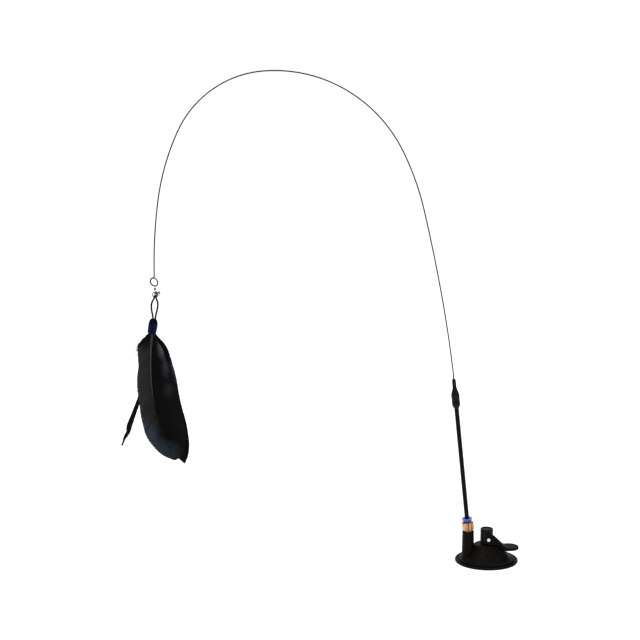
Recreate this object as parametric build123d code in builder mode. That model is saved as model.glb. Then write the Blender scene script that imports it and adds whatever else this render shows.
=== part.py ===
"""A suction cup cat teaser: a lever-locked suction cup, a push-in rod socket, a sprung wire arch and a feather lure.

Millimetres, +Z up. The origin is the centre of the suction face, the lever lies along +X, and the rod leans to -X.
The lever is down, so the cup is locked and its middle is pulled up.
"""
from build123d import *
import os
from math import asin, atan2, cos, degrees, pi, radians, sin, sqrt, tan

os.makedirs("parts", exist_ok=True)

# Fits
RUNNING = 0.05
SEATED = 0.02
SOFT_GAP = 0.3
OVERRUN = 1.0
TINY = 0.000001

# Suction cup: the rubber disc
CUP_R = 28.0
LIP_HEIGHT = 2.4
LIP_WIDTH = 1.8
SHEET_TOP = 1.7
SHEET_THICK = 2.0
HOLLOW_R = 18.0
BOSS_R = 8.4
BOSS_TOP = 8.8
LIFT = 2.4

# Hard dome over the disc
BRIM_R = 25.0
BRIM_EDGE = 1.1
BRIM_TOP = 3.8
DOME_FOOT_R = 20.6
DOME_FOOT_Z = 4.7
DOME_WAIST_R = 16.6
DOME_WAIST_Z = 9.9
PLATEAU_R = 9.7
PLATEAU_Z = 16.4
SHOULDER_ROUND = 1.6
DOME_WALL = 2.0
GUIDE_WALL = 1.5
GUIDE_FOOT = 11.4

# Pull stud through the plateau
STUD_R = 5.7
STUD_TOP = 30.4
STUD_FLANGE_R = 6.4
STUD_FLANGE_Z = 4.2
STUD_FLANGE_THICK = 2.0
STUD_NECK_R = 3.4
DISH_R = 4.4
DISH_DEPTH = 0.8
STUD_ROUND = 0.7

# Lever, its cam and its pin
PIN_Z = 21.7
PIN_R = 1.4
PIN_HEAD_R = 1.75
PIN_HEAD_THICK = 0.5
PIN_HEAD_TAPER_DEG = 30.0
PIN_COUNTERBORE_R = 2.3
PIN_COUNTERBORE_DEPTH = 0.9
LEVER_OPEN_DEG = 90.0
CAM_GAP = 0.05
FORK_GAP = 0.3
FORK_REACH = 10.8
LEVER_HALF_WIDTH = 8.4
LEVER_CROWN_R = 5.5
LEVER_SLOPE_DEG = 43.7
LEVER_TIP = 29.3
PADDLE_TOP = 13.1
PADDLE_THICK = 2.4
PADDLE_ROUND = 1.0
HEEL_ROUND = 1.4
BEND_ROUND = 3.0
CAM_FLAT_END = 8.6
LEVER_BELLY_X = 15.8
DOME_CLEARANCE = 0.5

# Post that carries the rod socket
POST_X = -17.0
POST_TOP = 28.8
POST_TOP_R = 5.15
POST_FOOT_R = 5.5
POST_FOOT_Z = 3.0
LEAN_DEG = 6.2

# Push-in fitting, measured along its leaning axis from the post's top
HEX_FLATS = 10.0
HEX_FOOT = 0.9
HEX_TOP = 8.4
HEX_CHAMFER_R = 4.7
HEX_CHAMFER_DEG = 40.0
SHOULDER_R = 4.4
SHOULDER_DEPTH = 1.6
THREAD_R = 3.4
THREAD_DEPTH = 11.0
THREAD_RELIEF = 1.5
THREAD_GROOVE = 0.35
THREAD_GROOVES = 5
ROD_STOP = 10.0
THROAT_R = 1.3
SEAL_SEAT = 2.6
SEAL_BORE_R = 3.5
SEAL_WIRE = 0.72
CLAW_SEAT = 4.9
MOUTH_R = 4.0

# Stainless grip claw and the ring that keeps it in
CLAW_THICK = 0.35
CLAW_R = 3.9
CLAW_ROOT_R = 2.95
CLAW_DROP = 0.6
CLAW_TEETH = 8
CLAW_SLOT = 0.35
RETAINER_R = 3.1
RETAINER_STEP_R = 3.65
RETAINER_STEP = 7.0

# Release collar
COLLAR_SLEEVE_R = 3.0
COLLAR_BORE_R = 2.15
COLLAR_LIP_R = 3.45
COLLAR_LIP = 0.6
COLLAR_FOOT = 6.35
COLLAR_FLANGE = 9.4
COLLAR_TOP = 11.8
COLLAR_FLANGE_R = 3.9
COLLAR_RIM_R = 4.7
COLLAR_RIM_EDGE = 0.9
COLLAR_FUNNEL_R = 3.4
COLLAR_FUNNEL_DEPTH = 1.4

# Rod and the shrunk sleeve that binds the wire to it
ROD_R = 2.0
ROD_END = 126.2
ROD_CHAMFER = 0.3
WIRE_R = 0.45
SLEEVE_FOOT = 113.3
SLEEVE_TIP = 139.8
SLEEVE_BELLY = 3.6
SLEEVE_NECK = 1.75
BEND_OFFSET = 2.6
BEND_Z = 116.2
LEG_SPREAD = 0.68

# The sprung wire's arch
ARCH_START_X = -32.6
ARCH_START_Z = 173.3
ARCH_HEADING_DEG = 97.53
ARCH_CROWN_R = 122.1

# Pigtail eye at the wire's end
EYE_LONG = 3.6
EYE_SHORT = 2.85
EYE_TILT_DEG = -55.0
EYE_DROP = 5.3
EYE_SIDE = -0.2
EYE_PITCH = 1.4
EYE_FROM_DEG = 195.0
EYE_TO_DEG = 665.0
EYE_STEPS = 11

# Micro swivel, jump ring and bell
LINK_R = 0.2
UPPER_EYE_R = 1.05
LOWER_EYE_R = 1.1
HANG_GAP = 0.03
BARREL_R = 0.9
BARREL_LENGTH = 1.6
BARREL_WALL = 0.3
BARREL_HEAD_R = 0.5
BARREL_HEAD_THICK = 0.3
SHANK_LENGTH = 0.1
RING_R = 2.2
RING_WIRE = 0.35
RING_SIDE = 0.32
LUG_SIDE = 0.9
BELL_R = 2.7
BELL_WALL = 0.3
BELL_SEAM = 0.25
BELL_SEAM_R = 2.95
BELL_LUG_R = 0.62
BELL_LUG_STEM = 0.4
BELL_SWUNG_DEG = 30.0
BELL_SLOT = 0.6
BELL_HOLE_R = 0.65
PELLET_R = 0.9

# Lure: cord loop, binding and feathers, hung from the ring
CORD_R = 0.6
BIGHT_SLACK = 0.15
CORD_END_Z = 221.8
BINDING_LEAN_DEG = 8.2
BINDING_TOP_X = -292.65
BINDING_TOP_Z = 227.7
BINDING_LENGTH = 12.9
BINDING_R = 3.7
QUILL_DEPTH = 5.0
FEATHER_TOP_Z = 214.9
FEATHER_LENGTH = 112.6
FEATHER_SPAN = 38.0
FEATHER_X = -294.6
VANE_HALF = 0.4
FRONT_LAYER = -1.4
FRONT_CAMBER = -2.0
BACK_LAYER = 1.6
BACK_CAMBER = 1.8
SIDE_LAYER = 0.8
TUFT_LAYER = -0.35
QUILL_R = 1.25
QUILL_TIP_R = 0.45
BACK_QUILL_X = 1.2
BACK_QUILL_R = 0.95
SIDE_QUILL_X = -1.1
SIDE_QUILL_R = 0.55
SIDE_TIP_R = 0.35
TUFT_ROOT_X = -2.45
TUFT_ROOT_R = 0.35
TUFT_ROOT_DEPTH = 2.5
BINDING_MOUTH_R = 1.45


def write(builder, label):
    """Names a finished piece and writes it as its own file."""
    builder.part.label = label
    export_step(builder.part, f"parts/{label}.step")


# Rubber disc, sucked flat round its edge and drawn up in the middle

with BuildPart() as suction_membrane:
    with BuildSketch(Plane.XZ):
        with BuildLine():
            groove_r = CUP_R - LIP_WIDTH
            Line((0, LIFT), (STUD_FLANGE_R, LIFT))
            ThreePointArc(
                (STUD_FLANGE_R, LIFT),
                ((HOLLOW_R + STUD_FLANGE_R) / 2, LIFT / 3),
                (HOLLOW_R, 0),
            )
            Polyline(
                (HOLLOW_R, 0),
                (CUP_R - SHEET_TOP / 3, 0),
                (CUP_R, SHEET_TOP / 3),
                (CUP_R, SHEET_TOP),
                (CUP_R - LIP_WIDTH / 3, LIP_HEIGHT),
                (groove_r + LIP_WIDTH / 4, LIP_HEIGHT),
                (groove_r, SHEET_TOP),
                (HOLLOW_R, SHEET_TOP),
            )
            ThreePointArc(
                (HOLLOW_R, SHEET_TOP),
                ((HOLLOW_R + BOSS_R) / 2, SHEET_THICK + LIFT / 3),
                (BOSS_R, SHEET_THICK + LIFT),
            )
            Polyline(
                (BOSS_R, SHEET_THICK + LIFT),
                (BOSS_R, BOSS_TOP - SHEET_THICK / 3),
                (BOSS_R - SHEET_THICK / 3, BOSS_TOP),
                (0, BOSS_TOP),
                (0, LIFT),
            )
        make_face()
    revolve(axis=Axis.Z)
    with BuildSketch(Plane.XZ):
        with BuildLine():
            Polyline(
                (0, STUD_FLANGE_Z - RUNNING),
                (STUD_FLANGE_R + RUNNING, STUD_FLANGE_Z - RUNNING),
                (STUD_FLANGE_R + RUNNING, STUD_FLANGE_Z + STUD_FLANGE_THICK + RUNNING),
                (STUD_NECK_R + RUNNING, STUD_FLANGE_Z + STUD_FLANGE_THICK + RUNNING),
                (STUD_NECK_R + RUNNING, BOSS_TOP + OVERRUN),
                (0, BOSS_TOP + OVERRUN),
                close=True,
            )
        make_face()
    revolve(axis=Axis.Z, mode=Mode.SUBTRACT)
write(suction_membrane, "suction_membrane")


# Leaning axis of the rod socket

SOCKET = Plane(
    origin=(POST_X, 0, POST_TOP),
    x_dir=(cos(radians(LEAN_DEG)), 0, sin(radians(LEAN_DEG))),
    z_dir=(-sin(radians(LEAN_DEG)), 0, cos(radians(LEAN_DEG))),
)
SOCKET_SECTION = Plane(origin=SOCKET.origin, x_dir=SOCKET.x_dir, z_dir=-SOCKET.y_dir)
SOCKET_AXIS = Axis(SOCKET.origin, SOCKET.z_dir)


def turned(profile, mode=Mode.ADD):
    """Revolves a profile of (radius, height) points about the socket's leaning axis."""
    with BuildSketch(SOCKET_SECTION) as section:
        with BuildLine():
            Polyline(*profile, close=True)
        make_face()
    revolve(section.sketch, axis=SOCKET_AXIS, mode=mode)


# Dome, brim, stud guide and post: one moulding

with BuildPart() as base_housing:
    with BuildSketch(Plane.XZ):
        with BuildLine():
            brim_foot = SHEET_TOP + SOFT_GAP
            Polyline(
                (0, PLATEAU_Z),
                (0, brim_foot),
                (BRIM_R, brim_foot),
                (BRIM_R, brim_foot + BRIM_EDGE),
                (BRIM_R - BRIM_EDGE, BRIM_TOP - SOFT_GAP),
                (DOME_FOOT_R + BRIM_EDGE, BRIM_TOP),
                (DOME_FOOT_R, DOME_FOOT_Z),
            )
            ThreePointArc(
                (DOME_FOOT_R, DOME_FOOT_Z),
                (DOME_WAIST_R, DOME_WAIST_Z),
                (PLATEAU_R + SHOULDER_ROUND, PLATEAU_Z - SHOULDER_ROUND / 2),
            )
            Polyline(
                (PLATEAU_R + SHOULDER_ROUND, PLATEAU_Z - SHOULDER_ROUND / 2),
                (PLATEAU_R, PLATEAU_Z),
                (0, PLATEAU_Z),
            )
        make_face()
    revolve(axis=Axis.Z)
    with BuildSketch(Plane.XY.offset(POST_FOOT_Z)):
        with Locations((POST_X, 0)):
            Circle(POST_FOOT_R)
    with BuildSketch(Plane.XY.offset(POST_TOP)):
        with Locations((POST_X, 0)):
            Circle(POST_TOP_R)
    loft()
    post_rim = base_housing.edges().group_by(Axis.Z)[-1]
    chamfer(post_rim, SOFT_GAP)
    with BuildSketch(Plane.XZ):
        with BuildLine():
            inner_foot_r = DOME_FOOT_R - DOME_WALL
            guide_r = STUD_R + RUNNING + GUIDE_WALL
            Line((0, GUIDE_FOOT), (guide_r, GUIDE_FOOT))
            Line((guide_r, GUIDE_FOOT), (guide_r, PLATEAU_Z - DOME_WALL))
            Line((guide_r, PLATEAU_Z - DOME_WALL), (PLATEAU_R, PLATEAU_Z - DOME_WALL))
            ThreePointArc(
                (PLATEAU_R, PLATEAU_Z - DOME_WALL),
                (DOME_WAIST_R - DOME_WALL, DOME_WAIST_Z - DOME_WALL / 2),
                (inner_foot_r, DOME_FOOT_Z - DOME_WALL / 2),
            )
            Polyline(
                (inner_foot_r, DOME_FOOT_Z - DOME_WALL / 2),
                (inner_foot_r, 0),
                (0, 0),
                (0, GUIDE_FOOT),
            )
        make_face()
    revolve(axis=Axis.Z, mode=Mode.SUBTRACT)
    with BuildSketch(Plane.XY.offset(PLATEAU_Z + OVERRUN)):
        Circle(STUD_R + RUNNING)
    extrude(amount=-PLATEAU_Z, mode=Mode.SUBTRACT)
    turned([
        (0, OVERRUN),
        (SHOULDER_R + SEATED, OVERRUN),
        (SHOULDER_R + SEATED, -SHOULDER_DEPTH),
        (THREAD_R + SEATED, -SHOULDER_DEPTH),
        (THREAD_R + SEATED, -THREAD_DEPTH - THREAD_RELIEF),
        (0, -THREAD_DEPTH - THREAD_RELIEF - THREAD_R / 2),
    ], Mode.SUBTRACT)
write(base_housing, "base_housing")


# Stud moulded into the rubber: the lever lifts it, and it lifts the middle of the disc

with BuildPart() as pull_stud:
    with BuildSketch(Plane.XZ):
        with BuildLine():
            stud_foot = BOSS_TOP + RUNNING
            Polyline(
                (0, STUD_FLANGE_Z),
                (STUD_FLANGE_R, STUD_FLANGE_Z),
                (STUD_FLANGE_R, STUD_FLANGE_Z + STUD_FLANGE_THICK),
                (STUD_NECK_R, STUD_FLANGE_Z + STUD_FLANGE_THICK),
                (STUD_NECK_R, stud_foot),
                (STUD_R - STUD_ROUND, stud_foot),
                (STUD_R, stud_foot + STUD_ROUND),
                (STUD_R, STUD_TOP - STUD_ROUND),
            )
            RadiusArc((STUD_R, STUD_TOP - STUD_ROUND), (STUD_R - STUD_ROUND, STUD_TOP), -STUD_ROUND)
            Polyline(
                (STUD_R - STUD_ROUND, STUD_TOP),
                (DISH_R, STUD_TOP),
                (DISH_R - DISH_DEPTH, STUD_TOP - DISH_DEPTH),
                (0, STUD_TOP - DISH_DEPTH),
                (0, STUD_FLANGE_Z),
            )
        make_face()
    revolve(axis=Axis.Z)
    with BuildSketch(Plane.XZ.offset(-STUD_R - OVERRUN)):
        with Locations((0, PIN_Z)):
            Circle(PIN_R + SEATED)
    extrude(amount=2 * (STUD_R + OVERRUN), mode=Mode.SUBTRACT)
write(pull_stud, "pull_stud")


# Steel pin, pressed through the stud, with a low head at each end

with BuildPart() as lever_pin:
    pin_end = LEVER_HALF_WIDTH - PIN_COUNTERBORE_DEPTH + RUNNING
    with BuildSketch(Plane.XZ.offset(-pin_end)):
        with Locations((0, PIN_Z)):
            Circle(PIN_R)
    extrude(amount=2 * pin_end)
    for side in (-1, 1):
        with BuildSketch(Plane.XZ.offset(side * pin_end)):
            with Locations((0, PIN_Z)):
                Circle(PIN_HEAD_R)
        extrude(amount=side * PIN_HEAD_THICK, taper=PIN_HEAD_TAPER_DEG)
write(lever_pin, "lever_pin")


# Cam lever. Its foot is an involute, so the stud falls evenly as the lever opens.

CAM_RATE = LIFT / radians(LEVER_OPEN_DEG)
CAM_LOCKED = PIN_Z - PLATEAU_Z - CAM_GAP
CAM_POINTS = 7


def cam_point(opened):
    """The cam's contact point, in the closed lever's frame, when the lever has opened by this many degrees."""
    reach = CAM_LOCKED - CAM_RATE * radians(opened)
    facing = radians(270 - opened)
    return (
        reach * cos(facing) - CAM_RATE * sin(facing),
        PIN_Z + reach * sin(facing) + CAM_RATE * cos(facing),
    )


with BuildPart() as cam_lever:
    heel_x, heel_z = cam_point(LEVER_OPEN_DEG)
    crown_z = PIN_Z + sqrt(LEVER_CROWN_R ** 2 - heel_x ** 2)
    slope = radians(LEVER_SLOPE_DEG)
    crown_end = (LEVER_CROWN_R * sin(slope), PIN_Z + LEVER_CROWN_R * cos(slope))
    bend_x = crown_end[0] + (crown_end[1] - PADDLE_TOP) / tan(slope)
    paddle_foot = PADDLE_TOP - PADDLE_THICK
    with BuildSketch(Plane.XZ):
        with BuildLine():
            Spline(*[cam_point(LEVER_OPEN_DEG * step / CAM_POINTS) for step in range(CAM_POINTS + 1)])
            Line((heel_x, heel_z), (heel_x, crown_z))
            ThreePointArc((heel_x, crown_z), (0, PIN_Z + LEVER_CROWN_R), crown_end)
            Polyline(
                crown_end,
                (bend_x, PADDLE_TOP),
                (LEVER_TIP, PADDLE_TOP),
                (LEVER_TIP, paddle_foot),
                (LEVER_BELLY_X, paddle_foot),
                (CAM_FLAT_END, PLATEAU_Z + CAM_GAP),
                cam_point(0),
            )
        make_face()
        heel = vertices().sort_by_distance((heel_x, crown_z))[0]
        fillet(heel, HEEL_ROUND)
        bend = vertices().sort_by_distance((bend_x, PADDLE_TOP))[0]
        fillet(bend, BEND_ROUND)
    extrude(amount=LEVER_HALF_WIDTH, both=True)
    with BuildSketch(Plane.XY):
        with Locations((LEVER_TIP - LEVER_HALF_WIDTH, 0)):
            Circle(LEVER_HALF_WIDTH)
        with Locations((LEVER_TIP - LEVER_HALF_WIDTH, 0)):
            Rectangle(2 * LEVER_TIP, 2 * LEVER_HALF_WIDTH, align=(Align.MAX, Align.CENTER))
    extrude(amount=STUD_TOP, mode=Mode.INTERSECT)
    rim_top = cam_lever.edges().filter_by(GeomType.CIRCLE).group_by(Axis.X)[-1].sort_by(Axis.Z)[-1]
    fillet(rim_top, PADDLE_ROUND)
    fork_half = STUD_R + FORK_GAP
    with BuildSketch(Plane.XY):
        with Locations((FORK_REACH, 0)):
            Rectangle(2 * LEVER_TIP, 2 * fork_half, align=(Align.MAX, Align.CENTER))
    extrude(amount=STUD_TOP, mode=Mode.SUBTRACT)
    with BuildSketch(Plane.XZ):
        with BuildLine():
            Line((0, 0), (DOME_FOOT_R + DOME_CLEARANCE, 0))
            Line((DOME_FOOT_R + DOME_CLEARANCE, 0), (DOME_FOOT_R + DOME_CLEARANCE, DOME_FOOT_Z))
            ThreePointArc(
                (DOME_FOOT_R + DOME_CLEARANCE, DOME_FOOT_Z),
                (DOME_WAIST_R + DOME_CLEARANCE, DOME_WAIST_Z),
                (PLATEAU_R + SHOULDER_ROUND, PLATEAU_Z),
            )
            Polyline((PLATEAU_R + SHOULDER_ROUND, PLATEAU_Z), (0, PLATEAU_Z), (0, 0))
        make_face()
    revolve(axis=Axis.Z, mode=Mode.SUBTRACT)
    with BuildSketch(Plane.XZ.offset(-LEVER_HALF_WIDTH - OVERRUN)):
        with Locations((0, PIN_Z)):
            Circle(PIN_R + RUNNING)
    extrude(amount=2 * (LEVER_HALF_WIDTH + OVERRUN), mode=Mode.SUBTRACT)
    for side in (-1, 1):
        with BuildSketch(Plane.XZ.offset(side * (LEVER_HALF_WIDTH - PIN_COUNTERBORE_DEPTH))):
            with Locations((0, PIN_Z)):
                Circle(PIN_COUNTERBORE_R)
        extrude(amount=side * (PIN_COUNTERBORE_DEPTH + OVERRUN), mode=Mode.SUBTRACT)
write(cam_lever, "cam_lever")


# Brass push-in fitting, screwed into the post

with BuildPart() as fitting_body:
    with BuildSketch(SOCKET.offset(HEX_FOOT)):
        RegularPolygon(HEX_FLATS / 2, 6, major_radius=False, rotation=30)
    extrude(amount=HEX_TOP - HEX_FOOT)
    hex_corner_r = HEX_FLATS / sqrt(3)
    hex_chamfer = (hex_corner_r - HEX_CHAMFER_R) * tan(radians(HEX_CHAMFER_DEG))
    turned([
        (0, HEX_FOOT),
        (HEX_CHAMFER_R, HEX_FOOT),
        (hex_corner_r, HEX_FOOT + hex_chamfer),
        (hex_corner_r, HEX_TOP - hex_chamfer),
        (HEX_CHAMFER_R - RUNNING, HEX_TOP),
        (0, HEX_TOP),
    ], Mode.INTERSECT)
    groove_step = (THREAD_DEPTH - SHOULDER_DEPTH) / (THREAD_GROOVES + 1)
    thread = [(THREAD_R, -SHOULDER_DEPTH)]
    for turn in range(1, THREAD_GROOVES + 1):
        crest = -SHOULDER_DEPTH - turn * groove_step
        thread += [
            (THREAD_R, crest + THREAD_GROOVE),
            (THREAD_R - THREAD_GROOVE, crest),
            (THREAD_R, crest - THREAD_GROOVE),
        ]
    turned([
        (0, HEX_FOOT),
        (SHOULDER_R, HEX_FOOT),
        (SHOULDER_R, -SHOULDER_DEPTH),
        *thread,
        (THREAD_R, THREAD_GROOVE - THREAD_DEPTH),
        (THREAD_R - THREAD_GROOVE, -THREAD_DEPTH),
        (0, -THREAD_DEPTH),
    ])
    turned([
        (0, HEX_TOP + OVERRUN),
        (MOUTH_R + SEATED, HEX_TOP + OVERRUN),
        (MOUTH_R + SEATED, CLAW_SEAT),
        (SEAL_BORE_R, CLAW_SEAT),
        (SEAL_BORE_R, SEAL_SEAT),
        (ROD_R + RUNNING, SEAL_SEAT),
        (ROD_R + RUNNING, -ROD_STOP),
        (THROAT_R, -ROD_STOP),
        (THROAT_R, -THREAD_DEPTH - OVERRUN),
        (0, -THREAD_DEPTH - OVERRUN),
    ], Mode.SUBTRACT)
write(fitting_body, "fitting_body")


# O-ring that centres and seals the rod

with BuildPart() as tube_seal:
    seal_centre_r = ROD_R + RUNNING + SEAL_WIRE
    with BuildSketch(SOCKET_SECTION):
        with Locations((seal_centre_r, SEAL_SEAT + SEAL_WIRE + SEATED)):
            Circle(SEAL_WIRE)
    revolve(axis=SOCKET_AXIS)
write(tube_seal, "tube_seal")


# Star-shaped claw whose teeth slope inwards and down, so the rod goes in and doesn't come out

with BuildPart() as grip_claw:
    claw_foot = CLAW_SEAT + SEATED
    claw_top = claw_foot + CLAW_THICK
    claw_tip_r = ROD_R + RUNNING
    turned([
        (CLAW_ROOT_R, claw_foot),
        (CLAW_R, claw_foot),
        (CLAW_R, claw_top),
        (CLAW_ROOT_R, claw_top),
        (claw_tip_r, claw_top - CLAW_DROP),
        (claw_tip_r, claw_foot - CLAW_DROP),
    ])
    slot_reach = (CLAW_ROOT_R + claw_tip_r) / 2
    with BuildSketch(SOCKET.offset(claw_foot - CLAW_DROP - OVERRUN)):
        with PolarLocations(0, CLAW_TEETH):
            Rectangle(slot_reach + CLAW_SLOT, CLAW_SLOT, align=(Align.MIN, Align.CENTER))
    extrude(amount=CLAW_DROP + CLAW_THICK + 2 * OVERRUN, mode=Mode.SUBTRACT)
write(grip_claw, "grip_claw")


# Ring pressed into the fitting's mouth, over the claw

with BuildPart() as claw_retainer:
    retainer_foot = claw_top + RUNNING
    turned([
        (RETAINER_STEP_R, retainer_foot),
        (MOUTH_R, retainer_foot),
        (MOUTH_R, HEX_TOP),
        (RETAINER_R, HEX_TOP),
        (RETAINER_R, RETAINER_STEP),
        (RETAINER_STEP_R, RETAINER_STEP),
    ])
write(claw_retainer, "claw_retainer")


# Release collar: pushed in, it spreads the claw's teeth and frees the rod

with BuildPart() as release_collar:
    turned([
        (COLLAR_BORE_R, COLLAR_FOOT),
        (COLLAR_LIP_R, COLLAR_FOOT),
        (COLLAR_LIP_R, COLLAR_FOOT + COLLAR_LIP),
        (COLLAR_SLEEVE_R, COLLAR_FOOT + COLLAR_LIP),
        (COLLAR_SLEEVE_R, COLLAR_FLANGE),
        (COLLAR_FLANGE_R, COLLAR_FLANGE),
        (COLLAR_RIM_R, COLLAR_TOP - COLLAR_RIM_EDGE),
        (COLLAR_RIM_R, COLLAR_TOP),
        (COLLAR_FUNNEL_R, COLLAR_TOP),
        (COLLAR_BORE_R, COLLAR_TOP - COLLAR_FUNNEL_DEPTH),
    ])
write(release_collar, "release_collar")


# Rod, pushed down to the fitting's stop

with BuildPart() as rod:
    turned([
        (0, SEATED - ROD_STOP),
        (ROD_R - ROD_CHAMFER, SEATED - ROD_STOP),
        (ROD_R, SEATED - ROD_STOP + ROD_CHAMFER),
        (ROD_R, ROD_END - ROD_CHAMFER),
        (ROD_R - ROD_CHAMFER, ROD_END),
        (0, ROD_END),
    ])
write(rod, "rod")


# Smooth wire runs through points that each have a direction

def run(here, heading, there, onward):
    """A straight line, or two arcs that meet in line, from one point and direction to the next."""
    chord = there - here
    if heading.cross(chord).length < TINY and onward.cross(chord).length < TINY:
        Line(here, there)
        return
    parting = 2 * (1 - heading.dot(onward))
    along = chord.dot(heading + onward)
    if parting < TINY:
        reach = chord.dot(chord) / (2 * along)
    else:
        reach = (sqrt(along ** 2 + parting * chord.dot(chord)) - along) / parting
    first, last = here + heading * reach, there - onward * reach
    middle = (first + last) / 2
    TangentArc(here, middle, tangent=heading)
    TangentArc(middle, there, tangent=last - first)


def wire_along(stations, radius):
    """A round wire through stations of (point, direction), as one unbroken tube."""
    with BuildLine() as path:
        for (here, heading), (there, onward) in zip(stations, stations[1:]):
            run(here, heading.normalized(), there, onward.normalized())
    wire = path.wires()[0]
    with BuildSketch(Plane(origin=wire @ 0, z_dir=wire % 0)) as section:
        Circle(radius)
    sweep(section.sketch, path=wire)
    return wire


def on_rod(across, front, height):
    """A point beside the rod: along +X, towards -Y, and up the rod's axis."""
    return SOCKET.from_local_coords(Vector(across, -front, height))


UP_ROD = SOCKET.z_dir
ACROSS = SOCKET.x_dir
LEG_FOOT = BEND_Z + BEND_OFFSET * 1.4
LEG_HEAD = ROD_END - 2 * ROD_CHAMFER
NECK_FOOT = LEG_HEAD + 3 * BEND_OFFSET

hairpin = [
    (on_rod(LEG_SPREAD, 0, SLEEVE_TIP - BEND_OFFSET), -UP_ROD),
    (on_rod(LEG_SPREAD, 0, NECK_FOOT), -UP_ROD),
    (on_rod(BEND_OFFSET, 0, LEG_HEAD), -UP_ROD),
    (on_rod(BEND_OFFSET, 0, LEG_FOOT), -UP_ROD),
    (on_rod(0, BEND_OFFSET, BEND_Z), -ACROSS),
    (on_rod(-BEND_OFFSET, 0, LEG_FOOT), UP_ROD),
    (on_rod(-BEND_OFFSET, 0, LEG_HEAD), UP_ROD),
    (on_rod(-LEG_SPREAD, 0, NECK_FOOT), UP_ROD),
]

arch = [(
    Vector(ARCH_START_X, 0, ARCH_START_Z),
    Vector(cos(radians(ARCH_HEADING_DEG)), 0, sin(radians(ARCH_HEADING_DEG))),
)]
heading_deg = ARCH_HEADING_DEG
arch_radius_shares = [
    (9.63227, 3.51), (12.63718, 2.73), (1.95987, 13.01), (1.03276, 33.06),
    (1.0, 34.31), (0.71089, 60.56), (1.65766, 17.33), (3.50450, 8.5),
]
for radius_share, arc_turn in arch_radius_shares:
    here, _ = arch[-1]
    old, new = radians(heading_deg), radians(heading_deg + arc_turn)
    arch.append((
        here + Vector(sin(new) - sin(old), 0, cos(old) - cos(new)) * ARCH_CROWN_R * radius_share,
        Vector(cos(new), 0, sin(new)),
    ))
    heading_deg += arc_turn
arch_end, arch_heading = arch[-1]

eye_tilt = radians(EYE_TILT_DEG)
eye_centre = Vector(arch_end.X + EYE_SIDE, 0, arch_end.Z - EYE_DROP)
eye_long = Vector(cos(eye_tilt), 0, sin(eye_tilt))
eye_short = Vector(-sin(eye_tilt), 0, cos(eye_tilt))


def pigtail(angle_deg):
    """A point and direction on the pigtail's oval turns, which step back by one pitch a turn."""
    angle = radians(angle_deg)
    step = Vector(0, EYE_PITCH * (angle_deg - EYE_FROM_DEG) / 360, 0)
    point = eye_centre + eye_long * EYE_LONG * cos(angle) + eye_short * EYE_SHORT * sin(angle) + step
    rise = EYE_PITCH / radians(360)
    turn = eye_short * EYE_SHORT * cos(angle) - eye_long * EYE_LONG * sin(angle) + Vector(0, rise, 0)
    return point, turn


eye_turns = [
    pigtail(EYE_FROM_DEG + (EYE_TO_DEG - EYE_FROM_DEG) * step / EYE_STEPS)
    for step in range(EYE_STEPS + 1)
]

with BuildPart() as spring_wire:
    wire_line = wire_along(hairpin + arch + eye_turns, WIRE_R)
write(spring_wire, "spring_wire")

wire_share = spring_wire.part.volume / (pi * WIRE_R ** 2 * wire_line.length)
print(f"spring wire: {wire_line.length:.1f} mm long, volume {wire_share:.4f} of section times length")
first_turn = [pigtail(EYE_FROM_DEG + step)[0] for step in range(0, 200, 4)]
second_turn = [pigtail(EYE_FROM_DEG + 270 + step)[0] for step in range(0, 200, 4)]
least = min((a - b).length for a in first_turn for b in second_turn) - 2 * WIRE_R
print(f"pigtail: least gap to itself {least:.2f} mm")


# Shrunk sleeve over the rod's end and both legs of the wire

with BuildPart() as wire_channel:
    wire_along(hairpin + arch[:1], WIRE_R + SEATED)

with BuildPart() as wire_sleeve:
    belly_front = BEND_OFFSET + WIRE_R + SOFT_GAP
    belly_side = SLEEVE_BELLY
    edge = ROD_R + SOFT_GAP
    sections = [
        (SLEEVE_FOOT, edge, edge),
        (SLEEVE_FOOT + edge / 2, belly_side - 2 * SOFT_GAP, belly_front - 2 * SOFT_GAP),
        (BEND_Z + WIRE_R, belly_side, belly_front),
        (LEG_FOOT + WIRE_R, belly_side - SOFT_GAP / 4, edge + SOFT_GAP),
        (LEG_HEAD + WIRE_R, belly_side - SOFT_GAP / 3, edge + SOFT_GAP),
        (ROD_END + BEND_OFFSET, edge + SOFT_GAP, edge - SOFT_GAP / 2),
        (ROD_END + BEND_OFFSET + SLEEVE_NECK, SLEEVE_NECK + SOFT_GAP, SLEEVE_NECK + SOFT_GAP / 2),
        (SLEEVE_TIP - BEND_OFFSET - WIRE_R, SLEEVE_NECK, SLEEVE_NECK - SOFT_GAP / 2),
        (SLEEVE_TIP - 2 * WIRE_R, SLEEVE_NECK - SOFT_GAP, SLEEVE_NECK - SOFT_GAP),
        (SLEEVE_TIP, WIRE_R + SOFT_GAP, WIRE_R + SOFT_GAP),
    ]
    for height, side_r, front_r in sections:
        with BuildSketch(SOCKET.offset(height)):
            Ellipse(side_r, front_r)
    loft()
    turned([
        (0, SLEEVE_FOOT - OVERRUN),
        (ROD_R + SEATED, SLEEVE_FOOT - OVERRUN),
        (ROD_R + SEATED, ROD_END + SEATED),
        (0, ROD_END + SEATED),
    ], Mode.SUBTRACT)
    add(wire_channel.part, mode=Mode.SUBTRACT)
write(wire_sleeve, "wire_sleeve")


# Micro swivel on the lowest point of the pigtail

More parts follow.
